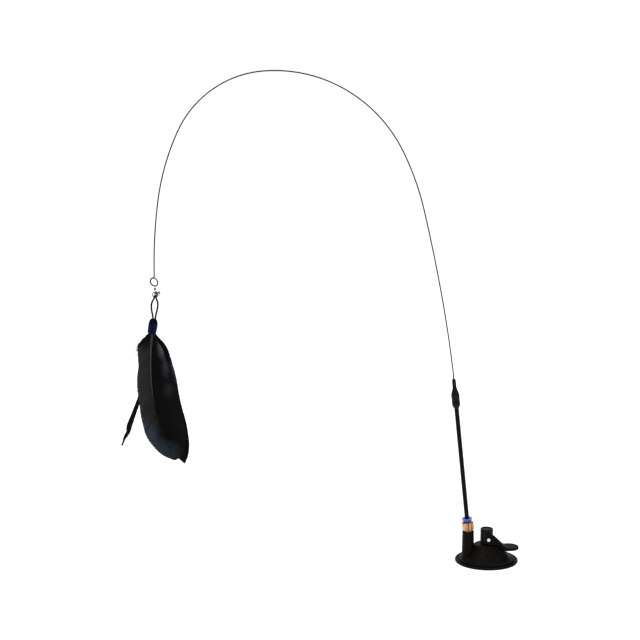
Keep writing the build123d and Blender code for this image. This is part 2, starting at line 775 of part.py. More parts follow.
lowest_deg = degrees(atan2(EYE_SHORT * cos(eye_tilt), EYE_LONG * sin(eye_tilt))) + 180
hook, _ = pigtail(lowest_deg)
UPPER_EYE_Z = hook.Z + WIRE_R + HANG_GAP - (UPPER_EYE_R - LINK_R)
BARREL_TOP = UPPER_EYE_Z - UPPER_EYE_R - LINK_R - SHANK_LENGTH
BARREL_FOOT = BARREL_TOP - BARREL_LENGTH
LOWER_EYE_Z = BARREL_FOOT - SHANK_LENGTH - LINK_R - LOWER_EYE_R


def hung_axis(height=0.0):
    """The upright axis through the swivel."""
    return Axis((hook.X, hook.Y, height), (0, 0, 1))


def swivel_eye(eye_z, eye_r, way):
    """A round eye across the Y axis, with a shank and a head that stays inside the barrel."""
    with BuildSketch(Plane.XZ.offset(-hook.Y)) as eye_wire:
        with Locations((hook.X, eye_z + eye_r)):
            Circle(LINK_R)
    revolve(eye_wire.sketch, axis=Axis((hook.X, hook.Y, eye_z), (1, 0, 0)))
    wall = eye_z - way * (eye_r + SHANK_LENGTH)
    shank = SHANK_LENGTH + BARREL_WALL + 2 * RUNNING
    with BuildSketch(Plane.XY.offset(wall + way * SHANK_LENGTH)) as stem:
        with Locations((hook.X, hook.Y)):
            Circle(LINK_R)
    extrude(stem.sketch, amount=-way * (shank + SHANK_LENGTH + LINK_R))
    with BuildSketch(Plane.XY.offset(wall - way * (LINK_R + shank - RUNNING))) as head:
        with Locations((hook.X, hook.Y)):
            Circle(BARREL_HEAD_R)
    extrude(head.sketch, amount=-way * BARREL_HEAD_THICK)


with BuildPart() as swivel_upper_eye:
    swivel_eye(UPPER_EYE_Z, UPPER_EYE_R, 1)
write(swivel_upper_eye, "swivel_upper_eye")

with BuildPart() as swivel_lower_eye:
    swivel_eye(LOWER_EYE_Z, LOWER_EYE_R, -1)
write(swivel_lower_eye, "swivel_lower_eye")

with BuildPart() as swivel_barrel:
    with BuildSketch(Plane.XZ.offset(-hook.Y)):
        with BuildLine():
            neck_r = BARREL_HEAD_R + RUNNING
            Polyline(
                (hook.X + neck_r, BARREL_FOOT),
                (hook.X + LINK_R + RUNNING, BARREL_FOOT),
                (hook.X + LINK_R + RUNNING, BARREL_FOOT + BARREL_WALL),
                (hook.X + neck_r, BARREL_FOOT + BARREL_WALL),
                (hook.X + neck_r, BARREL_TOP - BARREL_WALL),
                (hook.X + LINK_R + RUNNING, BARREL_TOP - BARREL_WALL),
                (hook.X + LINK_R + RUNNING, BARREL_TOP),
                (hook.X + neck_r, BARREL_TOP),
            )
            round_r = BARREL_R - neck_r
            RadiusArc((hook.X + neck_r, BARREL_TOP), (hook.X + BARREL_R, BARREL_TOP - round_r), round_r)
            Line((hook.X + BARREL_R, BARREL_TOP - round_r), (hook.X + BARREL_R, BARREL_FOOT + round_r))
            RadiusArc((hook.X + BARREL_R, BARREL_FOOT + round_r), (hook.X + neck_r, BARREL_FOOT), round_r)
        make_face()
    revolve(axis=hung_axis())
write(swivel_barrel, "swivel_barrel")


# Jump ring in the swivel's lower eye

ring_y = hook.Y - RING_SIDE
ring_top = LOWER_EYE_Z - sqrt((LOWER_EYE_R - LINK_R - RING_WIRE - HANG_GAP) ** 2 - RING_SIDE ** 2)
RING_Z = ring_top - RING_R

with BuildPart() as jump_ring:
    with BuildSketch(Plane.XY.offset(RING_Z)):
        with Locations((hook.X + RING_R, ring_y)):
            Circle(RING_WIRE)
    revolve(axis=Axis((hook.X, ring_y, RING_Z), (0, 1, 0)))
write(jump_ring, "jump_ring")


# Small bell, hung beside the ring and leaning on it

wire_turn = asin(LUG_SIDE / LOWER_EYE_R)
wire_way = Vector(0, cos(wire_turn), sin(wire_turn))
outwards = Vector(0, sin(wire_turn), -cos(wire_turn))
eye_point = Vector(hook.X, hook.Y, LOWER_EYE_Z) + outwards * LOWER_EYE_R
swung = radians(BELL_SWUNG_DEG)
bell_reach = BELL_R + BELL_LUG_STEM + 2 * BELL_LUG_R
bell_down = Vector(sin(swung), 0, 0) + outwards * cos(swung)
lug_point = eye_point - bell_down * (2 * LINK_R + HANG_GAP)
BELL = Plane(origin=lug_point + bell_down * bell_reach, x_dir=bell_down.cross(wire_way), z_dir=-bell_down)
BELL_SECTION = Plane(origin=BELL.origin, x_dir=BELL.x_dir, z_dir=-BELL.y_dir)
BELL_AXIS = Axis(BELL.origin, BELL.z_dir)


def bell_half(way):
    """Half of the bell's wall, with half of its crimped seam."""
    inner = BELL_R - BELL_WALL
    foot = way * SEATED / 2
    inner_foot = sqrt(inner ** 2 - foot ** 2)
    half_angle = radians(45)
    with BuildSketch(BELL_SECTION) as section:
        with BuildLine():
            Line((0, way * inner), (0, way * BELL_R))
            ThreePointArc(
                (0, way * BELL_R),
                (BELL_R * sin(half_angle), way * BELL_R * cos(half_angle)),
                (sqrt(BELL_R ** 2 - BELL_SEAM ** 2), way * BELL_SEAM),
            )
            Polyline(
                (sqrt(BELL_R ** 2 - BELL_SEAM ** 2), way * BELL_SEAM),
                (BELL_SEAM_R, way * BELL_SEAM),
                (BELL_SEAM_R, foot),
                (inner_foot, foot),
            )
            ThreePointArc(
                (inner_foot, foot),
                (inner * sin(half_angle), way * inner * cos(half_angle)),
                (0, way * inner),
            )
        make_face()
    revolve(section.sketch, axis=BELL_AXIS)


with BuildPart() as bell_upper_shell:
    bell_half(1)
write(bell_upper_shell, "bell_upper_shell")

with BuildPart() as bell_lower_shell:
    bell_half(-1)
    with BuildSketch(BELL.offset(-BELL_R - OVERRUN)):
        Rectangle(2 * (BELL_R - 2 * BELL_WALL), BELL_SLOT)
        for side in (-1, 1):
            with Locations((side * (BELL_R - 2 * BELL_WALL), 0)):
                Circle(BELL_HOLE_R)
    extrude(amount=BELL_R + OVERRUN - 2 * BELL_SEAM, mode=Mode.SUBTRACT)
write(bell_lower_shell, "bell_lower_shell")

with BuildPart() as bell_lug:
    lug_height = bell_reach - BELL_LUG_R
    with BuildSketch(BELL.offset(lug_height)):
        with Locations((BELL_LUG_R, 0)):
            Circle(LINK_R)
    lug_axis = Axis(BELL.origin + BELL.z_dir * lug_height, BELL.y_dir)
    revolve(axis=lug_axis)
    with BuildSketch(BELL.offset(BELL_R + SEATED)):
        Circle(2 * LINK_R)
    extrude(amount=BELL_LUG_STEM - SEATED)
write(bell_lug, "bell_lug")

with BuildPart() as bell_pellet:
    pellet_drop = BELL_R - BELL_WALL - PELLET_R - RUNNING
    with Locations(BELL.origin - Vector(0, 0, pellet_drop)):
        Sphere(PELLET_R)
write(bell_pellet, "bell_pellet")


# Cord loop: both ends lie in the binding, and the bight goes over the foot of the jump ring

BIGHT_Z = RING_Z - RING_R + RING_WIRE + CORD_R + SEATED + BIGHT_SLACK
CORD_ROUTE = [
    (-293.6, -0.35, CORD_END_Z),
    (-293.3, -0.35, 228.4),
    (-294.8, -0.6, 235.6),
    (-294.7, -0.9, 241.6),
    (-292.9, -1.15, 244.6),
    (-292.0, -0.95, BIGHT_Z),
    (-291.4, 0.95, BIGHT_Z),
    (-290.6, 1.15, 244.6),
    (-289.3, 0.9, 241.2),
    (-289.6, 0.6, 236.4),
    (-291.9, 0.35, 228.6),
    (-292.2, 0.35, CORD_END_Z),
]
BEND_SHARE = 0.45


def cord_points():
    """The cord's route, about the ring's own plane."""
    return [Vector(x, y + ring_y, z) for x, y, z in CORD_ROUTE]


def bend_radii(points):
    """The largest arc that each corner's two runs leave room for."""
    radii = []
    for before, corner, after in zip(points, points[1:], points[2:]):
        turn = (corner - before).get_angle(after - corner)
        shorter = min((corner - before).length, (after - corner).length)
        radii.append(BEND_SHARE * shorter / tan(radians(turn) / 2))
    return radii


with BuildPart() as cord_loop:
    route = cord_points()
    radii = bend_radii(route)
    with BuildLine() as cord_path:
        FilletPolyline(*route, radius=radii)
    cord_line = cord_path.wires()[0]
    with BuildSketch(Plane(origin=cord_line @ 0, z_dir=cord_line % 0)):
        Circle(CORD_R)
    sweep(path=cord_line)
write(cord_loop, "cord_loop")

cord_share = cord_loop.part.volume / (pi * CORD_R ** 2 * cord_line.length)
print("cord radii:", ", ".join(f"{radius:.1f}" for radius in radii))
print(f"cord: {cord_line.length:.1f} mm long, volume {cord_share:.4f} of section times length")


# Feathers: each has a cambered web on a tapered quill, and hangs from the binding

def across(share):
    """A place across the feathers, as a share of their span from the front quill."""
    return FEATHER_X + share * FEATHER_SPAN


def down(share):
    """A height down the feathers, as a share of their length from the binding."""
    return FEATHER_TOP_Z - share * FEATHER_LENGTH


def root(x, layer, radius, depth, mode=Mode.ADD, below=0.0):
    """The round root of a feather, upright in the binding, or the hole for it."""
    with BuildSketch(Plane.XY.offset(FEATHER_TOP_Z - below)) as section:
        with Locations((x, layer + ring_y)):
            Circle(radius)
    extrude(section.sketch, amount=depth + below, mode=mode)


def feather_section(left, right, quill_x, quill_r, base, bow, half):
    """A slice of a feather: the web's two sides fall away from the quill, which stands out on both faces."""
    quill_y = base + bow
    for way in (-1, 1):
        edges = [
            (left, base),
            ((left + quill_x - quill_r) / 2, base + 2 * bow / 3 + way * 2 * half / 3),
            (quill_x - quill_r, quill_y + way * half),
            (quill_x, quill_y + way * quill_r),
            (quill_x + quill_r, quill_y + way * half),
            ((right + quill_x + quill_r) / 2, base + 2 * bow / 3 + way * 2 * half / 3),
            (right, base),
        ][::-way]
        Spline(edges[0], edges[1], edges[2])
        ThreePointArc(edges[2], edges[3], edges[4])
        Spline(edges[4], edges[5], edges[6])


def feather(place_shares, layer, camber, half, root_x, root_r, depth, quill_r, tip_r):
    """A web with its quill, lofted down the feather, on its root. Rows have the drop, both edges and the quill."""
    first_drop = place_shares[0][0] * FEATHER_LENGTH
    root(root_x, layer, root_r, depth, below=first_drop + OVERRUN)
    sections = []
    base = layer + ring_y
    for drop_share, left_share, right_share, quill_share in place_shares:
        left, right = across(left_share), across(right_share)
        bow = camber * (right - left) / FEATHER_SPAN
        worn_r = quill_r + (tip_r - quill_r) * drop_share
        with BuildSketch(Plane.XY.offset(down(drop_share))) as section:
            with BuildLine():
                feather_section(left, right, across(quill_share), worn_r, base, bow, half)
            make_face()
        sections.append(section.sketch)
    loft(sections)


front_place_shares = [
    (0.03, -0.075, 0.075, -0.012), (0.07, -0.23, 0.145, -0.026), (0.115, -0.30, 0.21, -0.037),
    (0.17, -0.315, 0.27, -0.045), (0.25, -0.30, 0.35, -0.05), (0.34, -0.33, 0.46, -0.047),
    (0.44, -0.325, 0.55, -0.025), (0.53, -0.28, 0.61, 0.012), (0.62, -0.262, 0.665, 0.06),
    (0.715, -0.205, 0.71, 0.134), (0.81, -0.14, 0.73, 0.236), (0.905, 0.065, 0.70, 0.37),
    (0.955, 0.22, 0.645, 0.43), (0.99, 0.40, 0.54, 0.47),
]
with BuildPart() as feather_front:
    front_root = (FEATHER_X, QUILL_R, QUILL_DEPTH)
    feather(front_place_shares, FRONT_LAYER, FRONT_CAMBER, VANE_HALF, *front_root, QUILL_R, QUILL_TIP_R)
write(feather_front, "feather_front")

back_place_shares = [
    (0.025, -0.02, 0.13, 0.045), (0.08, -0.04, 0.27, 0.097), (0.125, -0.05, 0.345, 0.127),
    (0.22, -0.06, 0.43, 0.16), (0.355, -0.01, 0.53, 0.217), (0.49, 0.09, 0.59, 0.298),
    (0.60, 0.17, 0.66, 0.378), (0.69, 0.25, 0.73, 0.452), (0.78, 0.35, 0.775, 0.524),
    (0.875, 0.46, 0.805, 0.592), (0.925, 0.53, 0.80, 0.627), (0.97, 0.60, 0.78, 0.67),
    (1.0, 0.66, 0.745, 0.70),
]
with BuildPart() as feather_back:
    back_root = (FEATHER_X + BACK_QUILL_X, BACK_QUILL_R, QUILL_DEPTH)
    feather(back_place_shares, BACK_LAYER, BACK_CAMBER, VANE_HALF, *back_root, BACK_QUILL_R, QUILL_TIP_R)
write(feather_back, "feather_back")

side_place_shares = [
    (0.025, -0.056, -0.012, -0.034), (0.12, -0.078, -0.033, -0.055), (0.25, -0.15, -0.095, -0.122),
    (0.40, -0.27, -0.20, -0.235), (0.53, -0.37, -0.30, -0.335), (0.63, -0.50, -0.40, -0.45),
    (0.72, -0.61, -0.49, -0.55), (0.77, -0.615, -0.54, -0.578), (0.815, -0.685, -0.635, -0.66),
    (0.865, -0.74, -0.70, -0.72),
]
with BuildPart() as feather_side:
    side_root = (FEATHER_X + SIDE_QUILL_X, SIDE_QUILL_R, QUILL_DEPTH)
    feather(side_place_shares, SIDE_LAYER, VANE_HALF, VANE_HALF / 2, *side_root, SIDE_QUILL_R, SIDE_TIP_R)
write(feather_side, "feather_side")

tuft_place_shares = [
    (0.012, -0.115, -0.046, -0.07), (0.03, -0.20, -0.045, -0.10), (0.07, -0.32, -0.05, -0.16),
    (0.12, -0.36, -0.06, -0.20), (0.17, -0.34, -0.08, -0.205), (0.20, -0.28, -0.12, -0.20),
]
with BuildPart() as down_tuft:
    tuft_root = (FEATHER_X + TUFT_ROOT_X, TUFT_ROOT_R, TUFT_ROOT_DEPTH)
    tuft_r = TUFT_ROOT_R + SOFT_GAP / 2
    feather(tuft_place_shares, TUFT_LAYER, VANE_HALF / 4, VANE_HALF, *tuft_root, tuft_r, tuft_r)
write(down_tuft, "down_tuft")


# Binding that grips the quills and the cord's ends

BINDING = Plane(
    origin=(BINDING_TOP_X, ring_y, BINDING_TOP_Z),
    x_dir=(cos(radians(BINDING_LEAN_DEG)), 0, -sin(radians(BINDING_LEAN_DEG))),
    z_dir=(sin(radians(BINDING_LEAN_DEG)), 0, cos(radians(BINDING_LEAN_DEG))),
)
BINDING_SECTION = Plane(origin=BINDING.origin, x_dir=BINDING.x_dir, z_dir=-BINDING.y_dir)

with BuildPart() as feather_binding:
    with BuildSketch(BINDING_SECTION):
        with BuildLine():
            shoulder = BINDING_R - BINDING_MOUTH_R
            Line((0, 0), (BINDING_MOUTH_R, 0))
            RadiusArc((BINDING_MOUTH_R, 0), (BINDING_R, -shoulder), shoulder)
            Spline(
                (BINDING_R, -shoulder),
                (BINDING_R - SOFT_GAP / 3, -BINDING_LENGTH * 2 / 3),
                (BINDING_R - SOFT_GAP, -BINDING_LENGTH),
            )
            Polyline((BINDING_R - SOFT_GAP, -BINDING_LENGTH), (0, -BINDING_LENGTH), (0, 0))
        make_face()
    revolve(axis=Axis(BINDING.origin, BINDING.z_dir))
    add(cord_loop.part, mode=Mode.SUBTRACT)
    roots = [
        (front_root, FRONT_LAYER),
        (back_root, BACK_LAYER),
        (side_root, SIDE_LAYER),
        (tuft_root, TUFT_LAYER),
    ]
    for (root_x, root_r, depth), layer in roots:
        root(root_x, layer, root_r + SEATED, depth + SEATED, Mode.SUBTRACT, SOFT_GAP + OVERRUN)
write(feather_binding, "feather_binding")

print(f"swivel hangs at X {hook.X:.2f}, Y {hook.Y:.2f}, Z {hook.Z:.2f}; ring centre Z {RING_Z:.2f}, bight Z {BIGHT_Z:.2f}")
print(f"upper eye Z {UPPER_EYE_Z:.2f}, barrel {BARREL_FOOT:.2f} to {BARREL_TOP:.2f}, lower eye Z {LOWER_EYE_Z:.2f}")
print(f"ring Y {ring_y:.2f}, lug point {lug_point}, bell {BELL.origin}")
print(f"cam rate {CAM_RATE * 1000:.1f} micrometres a radian; arch ends {arch_end}")
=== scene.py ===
"""Looks of the suction cup cat teaser: materials, and a modelled wire, disc, cord, binding and feathers."""

import math
import random

import bpy
from mathutils import Matrix, Vector


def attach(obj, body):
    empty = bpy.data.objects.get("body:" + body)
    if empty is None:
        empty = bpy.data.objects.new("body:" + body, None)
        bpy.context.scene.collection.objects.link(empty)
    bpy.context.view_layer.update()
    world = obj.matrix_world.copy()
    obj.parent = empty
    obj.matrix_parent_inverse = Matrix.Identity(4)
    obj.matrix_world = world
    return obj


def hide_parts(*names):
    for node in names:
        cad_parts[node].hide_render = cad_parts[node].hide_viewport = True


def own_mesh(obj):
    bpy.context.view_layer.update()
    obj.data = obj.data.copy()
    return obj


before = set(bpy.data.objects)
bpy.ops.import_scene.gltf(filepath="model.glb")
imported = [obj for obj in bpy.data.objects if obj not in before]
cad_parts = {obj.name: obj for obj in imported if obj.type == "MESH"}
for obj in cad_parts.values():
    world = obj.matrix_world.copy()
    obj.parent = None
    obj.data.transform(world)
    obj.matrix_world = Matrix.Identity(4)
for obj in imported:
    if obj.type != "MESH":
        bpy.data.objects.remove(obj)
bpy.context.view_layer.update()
MM = 0.001


# Camera: fitted to the photograph, in pixels of a 640 by 640 image

IMAGE_PX = 640
FOCAL_PX = 1700.0
SENSOR_MM = 36.0
PITCH_DEG = 10.15
YAW_DEG = 8.0
ORIGIN_PX = (486.2, 560.75)
ORIGIN_DEPTH = 1.5237


def place_camera():
    pitch, yaw = math.radians(PITCH_DEG), math.radians(YAW_DEG)
    forward = Vector((math.sin(yaw) * math.cos(pitch), math.cos(yaw) * math.cos(pitch), -math.sin(pitch)))
    right = Vector((math.cos(yaw), -math.sin(yaw), 0))
    up = right.cross(forward)
    across = (ORIGIN_PX[0] - IMAGE_PX / 2) / FOCAL_PX * ORIGIN_DEPTH
    down = (ORIGIN_PX[1] - IMAGE_PX / 2) / FOCAL_PX * ORIGIN_DEPTH
    place = -(forward * ORIGIN_DEPTH + right * across - up * down)
    data = bpy.data.cameras.new("camera")
    data.sensor_fit = "HORIZONTAL"
    data.sensor_width = SENSOR_MM
    data.lens = FOCAL_PX / IMAGE_PX * SENSOR_MM
    data.clip_start, data.clip_end = 0.05, 20
    camera = bpy.data.objects.new("camera", data)
    bpy.context.collection.objects.link(camera)
    axes = Matrix((right, up, -forward)).transposed()
    camera.matrix_world = Matrix.Translation(place) @ axes.to_4x4()
    bpy.context.scene.camera = camera


place_camera()


# Small helpers for meshes and node materials

def new_mesh(name, points, faces):
    data = bpy.data.meshes.new(name)
    data.from_pydata([tuple(point) for point in points], [], faces)
    data.validate()
    data.shade_smooth()
    piece = bpy.data.objects.new(name, data)
    bpy.context.collection.objects.link(piece)
    return piece


class Look:
    """A node material with a principled shader and short calls for adding to it."""

    def __init__(self, name, **sockets):
        self.material = bpy.data.materials.new(name)
        self.material.use_nodes = True
        self.tree = self.material.node_tree
        self.shader = self.tree.nodes["Principled BSDF"]
        for socket, value in sockets.items():
            self.shader.inputs[socket.replace("_", " ")].default_value = value

    def node(self, kind, **values):
        made = self.tree.nodes.new(kind)
        for key, value in values.items():
            setattr(made, key, value)
        return made

    def link(self, output, target):
        self.tree.links.new(output, target)

    def where(self, stretch=(1, 1, 1), turn=(0, 0, 0)):
        """Object coordinates in millimetres, stretched and turned."""
        coordinates = self.node("ShaderNodeTexCoord")
        mapping = self.node("ShaderNodeMapping")
        mapping.inputs["Scale"].default_value = [1000 * s for s in stretch]
        mapping.inputs["Rotation"].default_value = turn
        self.link(coordinates.outputs["Object"], mapping.inputs["Vector"])
        return mapping.outputs["Vector"]

    def noise(self, scale, detail=3.0, rough=0.5, where=None):
        noise = self.node("ShaderNodeTexNoise")
        noise.inputs["Scale"].default_value = scale
        noise.inputs["Detail"].default_value = detail
        noise.inputs["Roughness"].default_value = rough
        self.link(where or self.where(), noise.inputs["Vector"])
        return noise.outputs["Fac"]

    def span(self, value, low, high, to_low, to_high):
        spread = self.node("ShaderNodeMapRange")
        for key, number in (("From Min", low), ("From Max", high), ("To Min", to_low), ("To Max", to_high)):
            spread.inputs[key].default_value = number
        self.link(value, spread.inputs["Value"])
        return spread.outputs["Result"]

    def mix(self, factor, one, two):
        mixed = self.node("ShaderNodeMix", data_type="RGBA")
        sockets = [mixed.inputs[0], mixed.inputs[6], mixed.inputs[7]]
        for socket, value in zip(sockets, (factor, one, two)):
            if isinstance(value, (int, float)):
                socket.default_value = value
            elif isinstance(value, tuple):
                socket.default_value = (*value, 1)
            else:
                self.link(value, socket)
        return mixed.outputs[2]

    def math(self, operation, one, two):
        made = self.node("ShaderNodeMath", operation=operation)
        for socket, value in zip(made.inputs, (one, two)):
            if isinstance(value, (int, float)):
                socket.default_value = value
            else:
                self.link(value, socket)
        return made.outputs["Value"]

    def bump(self, height, strength, distance_mm, onto=None):
        bump = self.node("ShaderNodeBump")
        bump.inputs["Strength"].default_value = strength
        bump.inputs["Distance"].default_value = distance_mm * MM
        self.link(height, bump.inputs["Height"])
        if onto:
            self.link(onto, bump.inputs["Normal"])
        return bump.outputs["Normal"]

    def out(self, socket, value):
        self.link(value, self.shader.inputs[socket])

    def two_tone(self, value, low, high, one, two, most=1.0):
        """The base colour, from one to two as the value goes from low to high."""
        self.out("Base Color", self.mix(self.span(value, low, high, 0.0, most), one, two))

    def roughness(self, value, smooth, rough, low=0.3, high=0.7):
        self.out("Roughness", self.span(value, low, high, smooth, rough))


DUST = (0.012, 0.012, 0.012)


def plastic(name, colour, rough, grain=6.0, grain_mm=0.02, dust=DUST, dust_share=0.35, gloss=0.06):
    """Moulded plastic or rubber: fine grain, faint handling marks and a little dust."""
    look = Look(name, Roughness=rough, Specular_IOR_Level=gloss)
    patches = look.noise(0.22, 5.0, 0.6)
    marks = look.noise(2.4, 4.0, 0.65, look.where((1, 1, 0.35)))
    look.two_tone(patches, 0.4, 0.75, colour, dust, dust_share)
    look.roughness(marks, rough - 0.07, rough + 0.09)
    fine = look.bump(look.noise(grain, 2.0), 0.35, grain_mm)
    look.out("Normal", look.bump(patches, 0.15, 0.05, fine))
    return look.material


def metal(name, colour, dark, rough, blotch_scale=0.5):
    """Plated or bare metal: blotches and fine scratches."""
    look = Look(name, Metallic=1.0, Roughness=rough)
    look.two_tone(look.noise(blotch_scale, 4.0, 0.6), 0.35, 0.7, colour, dark)
    look.roughness(look.noise(4.0, 3.0), rough - 0.05, rough + 0.12)
    look.out("Normal", look.bump(look.noise(9.0, 2.0), 0.18, 0.02))
    return look.material


def dress(node, material):
    """Gives a CAD node a material in every slot."""
    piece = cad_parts[node]
    piece.data.materials.clear()
    piece.data.materials.append(material)


def stand_in(node, name, body, material):
    """A new piece that replaces the node, with a copy of its mesh. The node's own mesh isn't changed."""
    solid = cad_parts[node]
    piece = bpy.data.objects.new(name, solid.data.copy())
    bpy.context.collection.objects.link(piece)
    piece.matrix_world = solid.matrix_world
    piece.data.materials.clear()
    piece.data.materials.append(material)
    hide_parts(node)
    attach(piece, body)
    return piece


# Lean of the rod's socket, as in the part's source

LEAN = math.radians(6.2)


# Materials of the base

cup_rubber = plastic(
    "cup_rubber", (0.0030, 0.0027, 0.0025), 0.50, 5.0, 0.02, (0.010, 0.0095, 0.009), 0.4,
)
housing_black = plastic(
    "housing_black", (0.0034, 0.0027, 0.0021), 0.50, 7.0, 0.015, (0.0070, 0.0064, 0.0060), 0.5,
)
lever_black = plastic(
    "lever_black", (0.0030, 0.0026, 0.0022), 0.58, 7.0, 0.012, (0.0065, 0.0062, 0.0058), 0.5,
)
stud_black = plastic(
    "stud_black", (0.0038, 0.0036, 0.0030), 0.42, 7.0, 0.012, (0.008, 0.008, 0.0075), 0.4, gloss=0.1,
)
pin_steel = metal("pin_steel", (0.72, 0.72, 0.71), (0.50, 0.50, 0.50), 0.24)
seal_black = plastic("seal_black", (0.006, 0.006, 0.006), 0.4)
claw_steel = metal("claw_steel", (0.66, 0.66, 0.66), (0.5, 0.5, 0.5), 0.25)

dress("base_housing", housing_black)
dress("pull_stud", stud_black)
dress("cam_lever", lever_black)
dress("lever_pin", pin_steel)
dress("tube_seal", seal_black)
dress("grip_claw", claw_steel)


# Rubber disc: a stand-in for the membrane, with a mesh of its own

rubber_disc = stand_in("suction_membrane", "rubber_disc", "base", cup_rubber)
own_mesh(rubber_disc)


# Brass fitting: painted reflections as light and dark streaks along its leaning axis, and faint turning
# lines round it

def brass_look():
    look = Look("fitting_brass", Metallic=1.0, Roughness=0.2)
    # Painted reflections: light and dark streaks along the axis, in the base colour, stand in for the
    # facets' reflections.
    painted_reflection_streaks = look.noise(0.42, 3.0, 0.5, look.where((1, 1, 0.2), (0, -LEAN, 0)))
    look.two_tone(painted_reflection_streaks, 0.4, 0.6, (0.55, 0.31, 0.15), (0.14, 0.068, 0.028))
    lines = look.noise(5.0, 2.0, 0.5, look.where((0.05, 0.05, 6.0), (0, -LEAN, 0)))
    look.roughness(look.noise(2.5, 4.0), 0.10, 0.24)
    look.out("Normal", look.bump(lines, 0.12, 0.02))
    return look.material


fitting_brass = brass_look()
dress("fitting_body", fitting_brass)
dress("claw_retainer", fitting_brass)


# Blue collar: moulded plastic under a thin gloss

def collar_look():
    look = Look("collar_blue", Roughness=0.28, Coat_Weight=0.3, Coat_Roughness=0.1)
    look.two_tone(look.noise(0.8, 4.0, 0.6), 0.35, 0.7, (0.075, 0.14, 0.56), (0.055, 0.105, 0.46))
    look.roughness(look.noise(3.0, 3.0), 0.22, 0.36)
    look.out("Normal", look.bump(look.noise(6.0, 2.0), 0.25, 0.02))
    return look.material


dress("release_collar", collar_look())


# Rod and sleeve

def rod_look():
    """Resin-bonded fibre: fine grain along the rod under a gloss skin."""
    look = Look("rod_black", Roughness=0.3, Specular_IOR_Level=0.06)
    grain = look.noise(3.0, 4.0, 0.6, look.where((2.5, 2.5, 0.06), (0, -LEAN, 0)))
    look.two_tone(grain, 0.35, 0.7, (0.0030, 0.0024, 0.0022), (0.0085, 0.0066, 0.0058))
    look.roughness(grain, 0.24, 0.38)
    look.out("Normal", look.bump(grain, 0.3, 0.03))
    return look.material


def sleeve_look():
    """Shrunk tubing: drawn folds along it and slack ones across it. The colour is painted darker in the
    folds' hollows, as shade.
    """
    look = Look("sleeve_black", Roughness=0.34, Specular_IOR_Level=0.12)
    folds = look.noise(0.9, 3.0, 0.5, look.where((1.1, 1.1, 0.35), (0.3, -LEAN - 0.5, 0)))
    # Painted shade: the colour is darker in the folds' hollows.
    look.two_tone(folds, 0.35, 0.7, (0.0036, 0.0036, 0.0038), (0.0075, 0.0075, 0.0078))
    look.roughness(look.noise(2.0, 3.0), 0.28, 0.44)
    fine = look.bump(look.noise(5.0, 2.0), 0.3, 0.02)
    look.out("Normal", look.bump(folds, 0.6, 0.35, fine))
    return look.material


dress("rod", rod_look())
dress("wire_sleeve", sleeve_look())


# Wire

def wire_look():
    """Blackened spring steel: a dull oxide skin with a few rubbed places."""
    look = Look("wire_steel", Roughness=0.42, Specular_IOR_Level=0.1)
    look.two_tone(look.noise(0.12, 4.0, 0.6), 0.45, 0.75, (0.0030, 0.0030, 0.0031), (0.011, 0.011, 0.0115))
    look.roughness(look.noise(4.0, 3.0), 0.36, 0.5)
    look.out("Normal", look.bump(look.noise(9.0, 2.0), 0.2, 0.02))
    return look.material


SOLID_WIRE_R = 0.45
PHOTO_WIRE_R = 0.55


def make_wire():
    """The wire along the solid's path, 1.1 mm thick as the photograph's line measures."""
    wire = stand_in("spring_wire", "arch_wire", "wand", wire_look())
    outward = [vertex.normal.copy() for vertex in wire.data.vertices]
    for vertex, normal in zip(wire.data.vertices, outward):
        vertex.co += normal * (PHOTO_WIRE_R - SOLID_WIRE_R) * MM


make_wire()


# Swivel, ring and bell

bright_steel = metal("bright_steel", (0.20, 0.20, 0.195), (0.07, 0.07, 0.07), 0.22)
dark_steel = metal("dark_steel", (0.028, 0.028, 0.028), (0.012, 0.012, 0.012), 0.3)
bell_silver = metal("bell_silver", (0.80, 0.77, 0.73), (0.50, 0.48, 0.46), 0.17, 1.0)
dress("swivel_upper_eye", bright_steel)
dress("swivel_lower_eye", bright_steel)
dress("swivel_barrel", dark_steel)
dress("jump_ring", dark_steel)
for shell in ("bell_upper_shell", "bell_lower_shell", "bell_lug"):
    dress(shell, bell_silver)
dress("bell_pellet", dark_steel)


# Cord loop: one smooth cord from the binding, over the ring's foot and back

RING_Y = 0.21
CORD_R = 0.78
CORD_END_Z = 221.8
BIGHT_Z = 247.38
CORD_ROUTE = [
    (-293.75, -0.45, CORD_END_Z), (-293.4, -0.45, 228.4), (-294.9, -0.7, 235.6), (-294.8, -1.15, 241.2),
    (-292.9, -1.75, 244.3), (-291.9, -1.65, BIGHT_Z), (-291.3, 1.25, BIGHT_Z), (-290.5, 1.35, 244.6),
    (-289.2, 1.0, 241.2), (-289.5, 0.7, 236.4), (-291.8, 0.45, 228.6), (-292.05, 0.45, CORD_END_Z),
]


